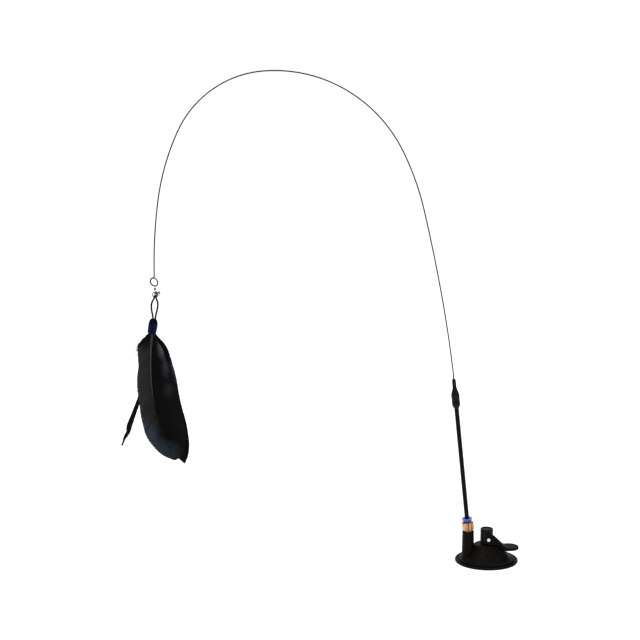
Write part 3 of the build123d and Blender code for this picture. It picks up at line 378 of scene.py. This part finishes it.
def make_cord():
    data = bpy.data.curves.new("loop_cord", "CURVE")
    data.dimensions = "3D"
    data.resolution_u = 10
    data.bevel_depth = CORD_R * MM
    data.bevel_resolution = 5
    data.use_fill_caps = True
    spline = data.splines.new("NURBS")
    spline.points.add(len(CORD_ROUTE) - 1)
    for point, (x, y, z) in zip(spline.points, CORD_ROUTE):
        point.co = (x * MM, (y + RING_Y) * MM, z * MM, 1)
    spline.order_u = 3
    spline.use_endpoint_u = True
    cord = bpy.data.objects.new("loop_cord", data)
    bpy.context.collection.objects.link(cord)
    look = Look("cord_black", Roughness=0.5, Specular_IOR_Level=0.08)
    weave = look.node("ShaderNodeTexWave", wave_type="BANDS", bands_direction="DIAGONAL")
    weave.inputs["Scale"].default_value = 0.55
    weave.inputs["Distortion"].default_value = 1.2
    look.link(look.where(), weave.inputs["Vector"])
    strand = weave.outputs["Fac"]
    look.out("Base Color", look.mix(strand, (0.0022, 0.0022, 0.0026), (0.0085, 0.0085, 0.0095)))
    look.roughness(strand, 0.7, 0.5, 0.0, 1.0)
    look.out("Normal", look.bump(look.noise(7.0, 2.0), 0.3, 0.04, look.bump(strand, 0.7, 0.12)))
    data.materials.append(look.material)
    x, y, z = CORD_ROUTE[0]
    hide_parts("cord_loop")
    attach(cord, "lure")


make_cord()


# Binding: wound thread, glossy navy with painted highlight streaks, and a black whipped top

BINDING_LEAN = math.radians(8.2)
BINDING_TOP = Vector((-292.95, RING_Y, 227.7))
BINDING_AXIS = Vector((math.sin(BINDING_LEAN), 0, math.cos(BINDING_LEAN)))
BINDING_LENGTH = 12.9
THREAD_PITCH = 0.34
BINDING_OUTLINE = [
    (0.0, 1.5), (0.035, 2.35), (0.1, 3.05), (0.2, 3.5), (0.3, 3.8), (0.36, 3.9), (0.42, 3.95), (0.55, 3.97),
    (0.75, 3.85), (0.92, 3.7), (0.97, 3.5), (1.0, 3.1),
]
CAP_SHARE = 0.33
CAP_BLACK = (0.0016, 0.0016, 0.0030)
FOOT_NAVY = (0.003, 0.005, 0.03)
THREAD_HEIGHT = 0.055


def along(table, share):
    """A smooth value from a table of (share, value, ...) rows, by Catmull-Rom."""
    if share <= table[0][0]:
        return table[0][1]
    for i in range(len(table) - 1):
        if share <= table[i + 1][0]:
            break
    else:
        return table[-1][1]
    (s1, v1), (s2, v2) = table[i][:2], table[i + 1][:2]
    s0, v0 = table[max(i - 1, 0)][:2]
    s3, v3 = table[min(i + 2, len(table) - 1)][:2]
    m1 = (v2 - v0) / (s2 - s0)
    m2 = (v3 - v1) / (s3 - s1)
    h = s2 - s1
    t = (share - s1) / h
    return (
        v1 * (2 * t**3 - 3 * t**2 + 1) + m1 * h * (t**3 - 2 * t**2 + t)
        + v2 * (3 * t**2 - 2 * t**3) + m2 * h * (t**3 - t**2)
    )


def paint(piece, colours):
    """One colour a vertex, which the material reads: the thing's own colour with painted sheen."""
    layer = piece.data.color_attributes.new("tint_and_sheen", "FLOAT_COLOR", "POINT")
    for item, colour in zip(layer.data, colours):
        item.color = (*colour, 1)


def make_binding():
    chance = random.Random(5)
    across = Vector((math.cos(BINDING_LEAN), 0, -math.sin(BINDING_LEAN)))
    front = Vector((0, -1, 0))
    around, rings = 56, 190
    streaks = [chance.random() for _ in range(around)]
    points, faces, colours = [], [], []
    for ring in range(rings + 1):
        share = ring / rings
        radius = along(BINDING_OUTLINE, share)
        for step in range(around):
            angle = 2 * math.pi * step / around
            turns = share * BINDING_LENGTH / THREAD_PITCH + step / around
            ridge = THREAD_HEIGHT * (abs(math.sin(math.pi * turns)) - 0.5)
            lump = 0.05 * math.sin(3 * angle + 5 * share) + 0.03 * math.sin(7 * angle - 9 * share)
            reach = max(radius + ridge + lump, 0.2)
            side = across * math.cos(angle) + front * math.sin(angle)
            points.append((BINDING_TOP - BINDING_AXIS * (share * BINDING_LENGTH) + side * reach) * MM)
            black = share < CAP_SHARE + 0.02 * math.sin(4 * angle)
            # The thread's own navy, with painted highlights: bright vertical streaks, strongest at the front
            # and back and faint at the sides.
            sheen = streaks[step] ** 3 * (0.25 + 0.75 * abs(math.sin(angle)) ** 3)
            navy = (0.0018 + 0.011 * sheen, 0.0030 + 0.027 * sheen, 0.016 + 0.170 * sheen)
            colours.append(CAP_BLACK if black else navy)
    for ring in range(rings):
        for step in range(around):
            a, b = ring * around + step, ring * around + (step + 1) % around
            faces.append((a, a + around, b + around, b))
    top, foot = len(points), len(points) + 1
    points += [BINDING_TOP * MM, (BINDING_TOP - BINDING_AXIS * BINDING_LENGTH) * MM]
    colours += [CAP_BLACK, FOOT_NAVY]
    last = rings * around
    for step in range(around):
        after = (step + 1) % around
        faces.append((top, step, after))
        faces.append((foot, last + after, last + step))
    binding = new_mesh("thread_binding", points, faces)
    paint(binding, colours)
    look = Look("binding_thread", Roughness=0.34, Specular_IOR_Level=0.04)
    tint_and_sheen = look.node("ShaderNodeAttribute", attribute_name="tint_and_sheen")
    fibre = look.noise(3.0, 3.0, 0.6, look.where((1, 1, 6.0)))
    look.two_tone(fibre, 0.3, 0.7, tint_and_sheen.outputs["Color"], (0.002, 0.003, 0.012), 0.6)
    look.roughness(fibre, 0.28, 0.45)
    look.out("Normal", look.bump(fibre, 0.35, 0.05))
    binding.data.materials.append(look.material)
    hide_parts("feather_binding")
    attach(binding, "lure")


make_binding()


# Feathers: rows of barbs on a tapered shaft

FEATHER_X, FEATHER_SPAN = -294.6, 38.0
FEATHER_TOP_Z, FEATHER_LENGTH = 214.9, 112.6
QUILL_ROOT_SHARE = -5.0 / FEATHER_LENGTH
ROOT = -0.0444  # the same place, as the tables of the shafts give it
BARB_LIFT = 0.00007
DOWN_WIDTH = 0.00034


def web_point(x_share, z_share, layer, camber, left, right):
    """A place on a cambered web, in metres. left and right are its edges there."""
    middle, half = (left + right) / 2, max((right - left) / 2, 0.004)
    w = max(-1.0, min(1.0, (x_share - middle) / half))
    narrow = min(1.0, 2 * half)
    y = RING_Y + layer + camber * narrow * (1 - w * w)
    return Vector((FEATHER_X + x_share * FEATHER_SPAN, y, FEATHER_TOP_Z - z_share * FEATHER_LENGTH)) * MM


class Feather:
    """Collects the barbs and the shaft of one feather into one mesh."""

    def __init__(self, name, node, left, right, shaft, layer, camber, seed):
        self.name, self.node = name, node
        self.left, self.right, self.shaft = left, right, shaft
        self.layer, self.camber = layer, camber
        self.chance = random.Random(seed)
        self.points, self.faces, self.colours = [], [], []

    def web(self, x_share, z_share):
        left, right = along(self.left, z_share), along(self.right, z_share)
        return web_point(x_share, z_share, self.layer, self.camber, left, right)

    def strip(self, places, widths, colour, lift=0.0):
        """A ribbon through places on the web, its outer edge lifted a little over the next."""
        first = len(self.points)
        for i, (place, width) in enumerate(zip(places, widths)):
            before, after = places[max(i - 1, 0)], places[min(i + 1, len(places) - 1)]
            run = (after - before).normalized()
            side = run.cross(Vector((0, 1, 0))).normalized() * width / 2
            rise = Vector((0, lift, 0))
            self.points += [place - side - rise, place + side + rise]
            self.colours += [colour(i / (len(places) - 1), place)] * 2
        for i in range(len(places) - 1):
            a = first + 2 * i
            self.faces.append((a, a + 1, a + 3, a + 2))

    def tube(self, places, radii, colour, sides=10):
        first = len(self.points)
        for i, (place, radius) in enumerate(zip(places, radii)):
            before, after = places[max(i - 1, 0)], places[min(i + 1, len(places) - 1)]
            run = (after - before).normalized()
            one = run.cross(Vector((0, 1, 0))).normalized()
            two = run.cross(one).normalized()
            for step in range(sides):
                angle = 2 * math.pi * step / sides
                self.points.append(place + (one * math.cos(angle) + two * math.sin(angle)) * radius)
                self.colours.append(colour(i / (len(places) - 1), place))
        for i in range(len(places) - 1):
            for step in range(sides):
                a, b = first + i * sides + step, first + i * sides + (step + 1) % sides
                self.faces.append((a, b, b + sides, a + sides))
        end = first + (len(places) - 1) * sides
        self.faces.append(tuple(range(first, first + sides))[::-1])
        self.faces.append(tuple(range(end, end + sides)))

    def membrane(self, start, stop, left_colour, right_colour, inset=0.02, rows=110, columns=30):
        """The closed vane that the barbs make together, from edge to edge."""
        first = len(self.points)
        for row in range(rows + 1):
            v = start + (stop - start) * row / rows
            left, right, shaft = along(self.left, v), along(self.right, v), along(self.shaft, v)
            for column in range(columns + 1):
                x = left + (right - left) * (inset + (1 - 2 * inset) * column / columns)
                edge, colour = (left, left_colour) if x < shaft else (right, right_colour)
                place = self.web(x, v)
                self.points.append(place)
                self.colours.append(colour(min(1.0, abs(x - shaft) / max(abs(edge - shaft), 0.001)), place))
        for row in range(rows):
            for column in range(columns):
                a = first + row * (columns + 1) + column
                self.faces.append((a, a + 1, a + columns + 2, a + columns + 1))

    def barbs(self, side, count, start, stop, slant, colour, clumps=44, split=0.12, tones=0.25):
        """Barbs from the shaft to one edge. side is -1 for the left edge and 1 for the right."""
        edge = self.left if side < 0 else self.right
        last = edge[-1][0]
        clump_shift = [self.chance.uniform(-1, 1) for _ in range(clumps + 2)]
        clump_tone = [self.chance.uniform(-1, 1) for _ in range(clumps + 2)]
        pitch = (stop - start) / count * FEATHER_LENGTH * MM
        steps = 8
        for i in range(count):
            v = start + (stop - start) * (i + 0.5) / count
            root_x = along(self.shaft, v)
            clump = int((i / count) * clumps)
            local = (i / count) * clumps - clump - 0.5
            shift = split * (clump_shift[clump] * 0.35 - local * 0.5) / clumps
            end_z = v + slant * (0.35 + 0.65 * min(1.0, (last - v) / 0.35)) + shift
            end_z = min(end_z, last - 0.0015 * self.chance.random())
            reach = 1.01 - 0.03 * self.chance.random() - 0.03 * split * abs(local)
            end_x = root_x + (along(edge, end_z) - root_x) * reach
            bend_z = v + (end_z - v) * 0.225
            places = []
            for k in range(steps + 1):
                t = k / steps
                x = root_x + (end_x - root_x) * (t + 0.25 * t * (1 - t))
                z = (1 - t) ** 2 * v + 2 * t * (1 - t) * bend_z + t * t * end_z
                places.append(self.web(x, z))
            width = pitch * (1.5 + 0.3 * self.chance.random())
            widths = [width * (1.0 - 0.5 * (k / steps) ** 6) for k in range(steps + 1)]
            tone = 1 + tones * (0.5 * self.chance.uniform(-1, 1) + clump_tone[clump])
            self.strip(
                places, widths, lambda t, p, tone=tone: tuple(c * tone for c in colour(t, p)), BARB_LIFT,
            )

    def down(self, side, count, start, stop, reach, colour):
        """Loose wavy barbs near the root."""
        steps = 8
        for _ in range(count):
            v = self.chance.uniform(start, stop)
            root_x = along(self.shaft, v)
            length = reach * self.chance.uniform(0.5, 1.0)
            angle = math.radians(self.chance.uniform(15, 75))
            places = []
            phase, wave = self.chance.uniform(0, 6.3), self.chance.uniform(0.2, 0.7)
            depth = self.chance.uniform(-0.5, 0.5)
            base = self.web(root_x, v)
            for k in range(steps + 1):
                t = k / steps
                turn = angle - 0.5 * t + 0.12 * math.sin(phase + 9 * t)
                out = length * t
                sway = (depth + wave * math.sin(phase + 5 * t)) * t
                places.append(base + Vector((side * math.sin(turn) * out, sway, -math.cos(turn) * out)) * MM)
            widths = [DOWN_WIDTH * (1 - 0.7 * k / steps) for k in range(steps + 1)]
            self.strip(places, widths, colour)

    def quill(self, bow, root_r, tip_r, colour):
        """The shaft, from the binding to its tip. bow says how far it bends out of the web's plane."""
        last = self.shaft[-1][0]
        places, radii = [], []
        steps = 40
        for k in range(steps + 1):
            share = QUILL_ROOT_SHARE + (last - QUILL_ROOT_SHARE) * k / steps
            x = FEATHER_X + along(self.shaft, share) * FEATHER_SPAN
            y = RING_Y + self.layer + along(bow, share) * FEATHER_SPAN
            places.append(Vector((x, y, FEATHER_TOP_Z - share * FEATHER_LENGTH)) * MM)
            radii.append((root_r + (tip_r - root_r) * (k / steps) ** 0.45) * MM)
        self.tube(places, radii, colour)

    def done(self, material):
        piece = new_mesh(self.name, self.points, self.faces)
        paint(piece, self.colours)
        piece.data.materials.append(material)
        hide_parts(self.node)
        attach(piece, "lure")


def feather_look():
    look = Look("feather_black", Roughness=0.46, Specular_IOR_Level=0.05)
    tint_and_sheen = look.node("ShaderNodeAttribute", attribute_name="tint_and_sheen")
    fibre = look.noise(2.2, 3.0, 0.6, look.where((3.0, 3.0, 0.9), (0, 0.7, 0)))
    look.two_tone(fibre, 0.3, 0.7, tint_and_sheen.outputs["Color"], (0.0016, 0.0016, 0.0020), 0.45)
    look.roughness(fibre, 0.34, 0.55)
    look.out("Normal", look.bump(fibre, 0.3, 0.05))
    return look.material


FEATHER_MATERIAL = feather_look()
SHAFT_GREY = (0.060, 0.057, 0.053)
BLACK = (0.0035, 0.0035, 0.0042)


def blend_colour(one, two, share):
    share = max(0.0, min(1.0, share))
    return tuple(a + (b - a) * share for a, b in zip(one, two))


def patch(place, x, z, wide, tall):
    """1 at a place on the lure, falling smoothly to 0 at the patch's rim. All in millimetres."""
    dx, dz = (place.x / MM - x) / wide, (place.z / MM - z) / tall
    reach = dx * dx + dz * dz
    return max(0.0, 1 - reach) ** 2


def steel(colour, place):
    """Painted sheen: a cold blue sheen along the lower left of the front feather."""
    blue = (0.046, 0.064, 0.086)
    colour = blend_colour(colour, blue, 1.2 * patch(place, -300.0, 124.0, 12.0, 22.0))
    colour = blend_colour(colour, (0.030, 0.044, 0.060), 0.9 * patch(place, -289.0, 113.0, 12.0, 14.0))
    return blend_colour(colour, (0.020, 0.030, 0.042), patch(place, -280.0, 110.0, 10.0, 14.0))


def front_left_colour(t, place):
    # Painted sheen: the left vane is painted in lighter greys, lightest towards its outer edge and fading to
    # near black towards the bottom; it is also darker near its top left.
    low = max(0.0, min(1.0, (158.0 - place.z / MM) / 30.0))
    inner = blend_colour((0.024, 0.024, 0.024), (0.0040, 0.0040, 0.0044), low)
    colour = blend_colour(inner, (0.043, 0.043, 0.045), t ** (1 + low))
    colour = blend_colour(colour, (0.066, 0.066, 0.070), 0.7 * max(0.0, (t - 0.8) / 0.2))
    colour = blend_colour(colour, (0.005, 0.005, 0.006), 1.3 * patch(place, -303.0, 212.0, 13.0, 15.0))
    return steel(colour, place)


def front_right_colour(t, place):
    # Painted sheen: a near-black vane with a light lavender-grey patch near its top right and fainter ones
    # below it.
    colour = blend_colour((0.0028, 0.0028, 0.0030), (0.0048, 0.0048, 0.0062), t)
    colour = blend_colour(colour, (0.125, 0.118, 0.142), patch(place, -286.0, 203.5, 5.5, 14.0))
    colour = blend_colour(colour, (0.038, 0.036, 0.048), patch(place, -283.5, 187.0, 4.0, 14.0))
    colour = blend_colour(colour, (0.022, 0.018, 0.018), patch(place, -281.5, 166.0, 6.0, 9.0))
    return steel(colour, place)


def back_colour(t, place):
    # Painted sheen: a pale lavender-grey patch along the back feather's right side.
    colour = (0.0042, 0.0042, 0.0056)
    return blend_colour(colour, (0.05, 0.048, 0.07), patch(place, -276.0, 178.0, 6.0, 26.0))


def plain_black(t, place):
    return (0.0050, 0.0050, 0.0054)


front = Feather(
    "front_feather", "feather_front",
    [(0.0, -0.02), (0.03, -0.085), (0.07, -0.24), (0.115, -0.315), (0.17, -0.33), (0.25, -0.32),
     (0.34, -0.355), (0.44, -0.352), (0.53, -0.32), (0.62, -0.295), (0.715, -0.24), (0.81, -0.155),
     (0.905, 0.05), (0.955, 0.22), (0.99, 0.44)],
    [(0.0, 0.02), (0.03, 0.075), (0.07, 0.145), (0.115, 0.21), (0.17, 0.27), (0.25, 0.35), (0.34, 0.46),
     (0.44, 0.55), (0.53, 0.61), (0.62, 0.665), (0.715, 0.71), (0.81, 0.73), (0.905, 0.70), (0.955, 0.645),
     (0.99, 0.48)],
    [(ROOT, 0.0), (0.0, 0.0), (0.13, -0.04), (0.25, -0.05), (0.36, -0.045), (0.48, -0.01), (0.595, 0.045),
     (0.71, 0.13), (0.83, 0.26), (0.93, 0.41)],
    -1.4, -2.0, 11,
)
front.membrane(0.0, 0.99, front_left_colour, front_right_colour)
front.barbs(-1, 300, 0.03, 0.93, 0.13, front_left_colour, 90, tones=0.22)
front.barbs(1, 300, 0.03, 0.93, 0.11, front_right_colour)
front.down(-1, 50, 0.0, 0.06, 10.0, plain_black)
front.down(1, 24, 0.0, 0.05, 5.0, plain_black)
front.quill(
    [(ROOT, 0.0), (0.0, 0.0), (0.13, -0.045), (0.25, -0.047), (0.36, -0.05), (0.48, -0.052),
     (0.595, -0.052), (0.71, -0.05), (0.83, -0.046), (0.93, -0.03)],
    1.25, 0.28, lambda t, p: blend_colour(SHAFT_GREY, (0.008, 0.008, 0.008), (t - 0.4) * 4.0),
)
front.done(FEATHER_MATERIAL)

back = Feather(
    "back_feather", "feather_back",
    [(0.0, 0.0), (0.025, -0.02), (0.08, -0.04), (0.125, -0.05), (0.22, -0.06), (0.355, -0.01), (0.49, 0.09),
     (0.60, 0.17), (0.69, 0.25), (0.78, 0.34), (0.875, 0.42), (0.925, 0.46), (0.97, 0.51), (1.0, 0.60),
     (1.025, 0.68)],
    [(0.0, 0.08), (0.025, 0.13), (0.08, 0.27), (0.125, 0.345), (0.22, 0.43), (0.355, 0.53), (0.49, 0.59),
     (0.60, 0.66), (0.69, 0.73), (0.78, 0.775), (0.875, 0.80), (0.925, 0.79), (0.97, 0.765), (1.0, 0.73),
     (1.025, 0.70)],
    [(ROOT, 0.0316), (0.0, 0.0316), (0.13, 0.13), (0.25, 0.17), (0.40, 0.24), (0.55, 0.34), (0.70, 0.46),
     (0.83, 0.56), (0.93, 0.63)],
    1.6, 1.8, 23,
)
back.membrane(0.0, 1.025, back_colour, back_colour, 0.0)
back.barbs(-1, 260, 0.03, 0.93, 0.12, back_colour)
back.barbs(1, 260, 0.03, 0.93, 0.10, back_colour)
back.down(1, 30, 0.0, 0.06, 6.0, plain_black)
back.quill(
    [(ROOT, 0.0), (0.0, 0.0), (0.13, 0.01), (0.25, 0.018), (0.40, 0.021), (0.55, 0.021), (0.70, 0.018),
     (0.83, 0.014), (0.93, 0.01)],
    0.95, 0.26, lambda t, p: blend_colour(SHAFT_GREY, BLACK, (t - 0.45) * 2.2),
)
back.done(FEATHER_MATERIAL)

side = Feather(
    "side_feather", "feather_side",
    [(0.12, -0.075), (0.25, -0.15), (0.40, -0.27), (0.53, -0.37), (0.63, -0.50), (0.72, -0.61),
     (0.77, -0.615), (0.815, -0.685), (0.865, -0.745)],
    [(0.12, -0.035), (0.25, -0.095), (0.40, -0.20), (0.53, -0.30), (0.63, -0.40), (0.72, -0.49),
     (0.77, -0.54), (0.815, -0.635), (0.865, -0.70)],
    [(ROOT, -0.029), (0.0, -0.029), (0.12, -0.055), (0.25, -0.12), (0.40, -0.235), (0.53, -0.335),
     (0.63, -0.45), (0.72, -0.55), (0.80, -0.65)],
    0.8, 0.2, 37,
)
side.membrane(0.12, 0.865, plain_black, plain_black, 0.0, 60, 8)
side.strip(
    [side.web(-0.53 - 0.064 * k / 6, 0.70 + 0.10 * k / 6) for k in range(7)],
    [0.0016 * (1 - 0.85 * k / 6) for k in range(7)], plain_black,
)
side.barbs(-1, 150, 0.10, 0.79, 0.07, plain_black, 18, 0.6)
side.barbs(1, 150, 0.10, 0.76, 0.06, plain_black, 18, 0.6)
side.quill(
    [(ROOT, 0.0), (0.12, 0.0), (0.25, -0.008), (0.40, -0.01), (0.80, -0.01)],
    0.75, 0.22, lambda t, p: blend_colour(SHAFT_GREY, BLACK, (t - 0.3) * 2.2),
)
side.done(FEATHER_MATERIAL)

# The tuft, with stray hairs past its outer edge

HAIRS, HAIR_STEPS, HAIR_WIDTH = 16, 6, 0.0007

tuft = Feather(
    "down_barbs", "down_tuft",
    [(-0.02, -0.078), (0.005, -0.10), (0.03, -0.175), (0.07, -0.295), (0.12, -0.335), (0.17, -0.33),
     (0.20, -0.28)],
    [(-0.02, -0.046), (0.005, -0.044), (0.03, -0.045), (0.07, -0.05), (0.12, -0.06), (0.17, -0.08),
     (0.20, -0.12)],
    [(-0.03, -0.06), (0.0, -0.07), (0.05, -0.12), (0.10, -0.17), (0.15, -0.20), (0.19, -0.21)],
    -0.35, 0.1, 51,
)
tuft.membrane(-0.02, 0.20, plain_black, plain_black, 0.03, 30, 16)
tuft.barbs(-1, 70, 0.0, 0.18, 0.03, plain_black, 12, 0.6)
tuft.barbs(1, 70, 0.0, 0.18, 0.03, plain_black, 12, 0.6)
tuft.down(-1, 80, 0.0, 0.12, 9.5, plain_black)
for hair in range(HAIRS):
    z, fall = 0.008 + 0.0075 * hair, 0.02 + 0.004 * (hair % 4)
    x, out = along(tuft.left, z) + 0.04, 0.07 + 0.03 * ((5 * hair) % 7) / 6
    root = tuft.web(x, z)
    places = [
        root + Vector((-out * FEATHER_SPAN * t, 0.15 * hair, -fall * FEATHER_LENGTH * t ** 1.6)) * MM
        for t in (k / HAIR_STEPS for k in range(HAIR_STEPS + 1))
    ]
    widths = [HAIR_WIDTH * (1 - 0.6 * k / HAIR_STEPS) for k in range(HAIR_STEPS + 1)]
    tuft.strip(places, widths, plain_black)
tuft.done(FEATHER_MATERIAL)


# Floor, cards, world and lamps

FLOOR_REACH = 12.0
FLOOR_GREY = (0.42, 0.42, 0.42, 1)
FLOOR_GLOW = 0.84
WORLD_LIGHT = 0.6
LAMPS = [
    ("key", (-0.9, -0.9, 1.5), (-0.1, 0, 0.15), 1.3, 17.0),
    ("fill", (1.0, -1.1, 0.9), (-0.1, 0, 0.15), 1.1, 7.0),
    ("top", (0.0, 0.4, 1.6), (-0.1, 0, 0.1), 1.0, 8.0),
]


def make_floor():
    """A floor that camera, glossy and transmission rays see as white, and that keeps the object's shadow."""
    corners = [(-1, -1), (1, -1), (1, 1), (-1, 1)]
    floor = new_mesh("floor", [(x * FLOOR_REACH, y * FLOOR_REACH, 0) for x, y in corners], [(0, 1, 2, 3)])
    look = Look("floor_white", Roughness=1.0, Base_Color=FLOOR_GREY, Specular_IOR_Level=0.0)
    rays = look.node("ShaderNodeLightPath")
    seen = look.math("MAXIMUM", rays.outputs["Is Camera Ray"], rays.outputs["Is Glossy Ray"])
    seen = look.math("MAXIMUM", seen, rays.outputs["Is Transmission Ray"])
    glow = look.node("ShaderNodeEmission")
    look.link(look.math("MULTIPLY", seen, FLOOR_GLOW), glow.inputs["Strength"])
    both = look.node("ShaderNodeAddShader")
    look.link(look.shader.outputs["BSDF"], both.inputs[0])
    look.link(glow.outputs["Emission"], both.inputs[1])
    look.link(both.outputs["Shader"], look.tree.nodes["Material Output"].inputs["Surface"])
    floor.data.materials.append(look.material)


def make_flags():
    """Black cards round the camera, for dark edges in metal. Only glossy rays see them."""
    left, right, front, back, top = -1.7, 1.4, -2.6, 1.6, 2.5
    cards = {
        "flag_left": [(left, front, 0), (left, back, 0), (left, back, top), (left, front, top)],
        "flag_right": [(right, front, 0), (right, back, 0), (right, back, top), (right, front, top)],
        "flag_front": [(left, front, 0), (right, front, 0), (right, front, top), (left, front, top)],
        "flag_top": [(left, front, top), (right, front, top), (right, back, top), (left, back, top)],
    }
    look = Look("flag_black", Roughness=1.0, Base_Color=(0.01, 0.01, 0.01, 1), Specular_IOR_Level=0.0)
    for name, corners in cards.items():
        card = new_mesh(name, corners, [(0, 1, 2, 3)])
        card.visible_camera = card.visible_diffuse = card.visible_transmission = card.visible_shadow = False
        card.data.materials.append(look.material)


def area(name, place, target, size, power):
    data = bpy.data.lights.new(name, "AREA")
    data.shape = "RECTANGLE"
    data.size, data.size_y = size, size
    data.energy = power
    lamp = bpy.data.objects.new(name, data)
    bpy.context.collection.objects.link(lamp)
    lamp.location = place
    lamp.rotation_euler = (Vector(target) - Vector(place)).to_track_quat("-Z", "Y").to_euler()


def make_world():
    """Even light from all sides, and white where camera, glossy or transmission rays meet it."""
    world = bpy.data.worlds.new("studio")
    bpy.context.scene.world = world
    world.use_nodes = True
    tree = world.node_tree
    ground = tree.nodes["Background"]
    ground.inputs["Color"].default_value = (1, 1, 1, 1)
    rays = tree.nodes.new("ShaderNodeLightPath")
    seen = rays.outputs["Is Camera Ray"]
    for kind in ("Is Glossy Ray", "Is Transmission Ray"):
        either = tree.nodes.new("ShaderNodeMath")
        either.operation = "MAXIMUM"
        tree.links.new(seen, either.inputs[0])
        tree.links.new(rays.outputs[kind], either.inputs[1])
        seen = either.outputs["Value"]
    spread = tree.nodes.new("ShaderNodeMapRange")
    spread.inputs["To Min"].default_value = WORLD_LIGHT
    spread.inputs["To Max"].default_value = 1.0
    tree.links.new(seen, spread.inputs["Value"])
    tree.links.new(spread.outputs["Result"], ground.inputs["Strength"])


make_floor()
make_flags()
make_world()
for lamp in LAMPS:
    area(*lamp)

scene = bpy.context.scene
scene.view_settings.view_transform = "Standard"
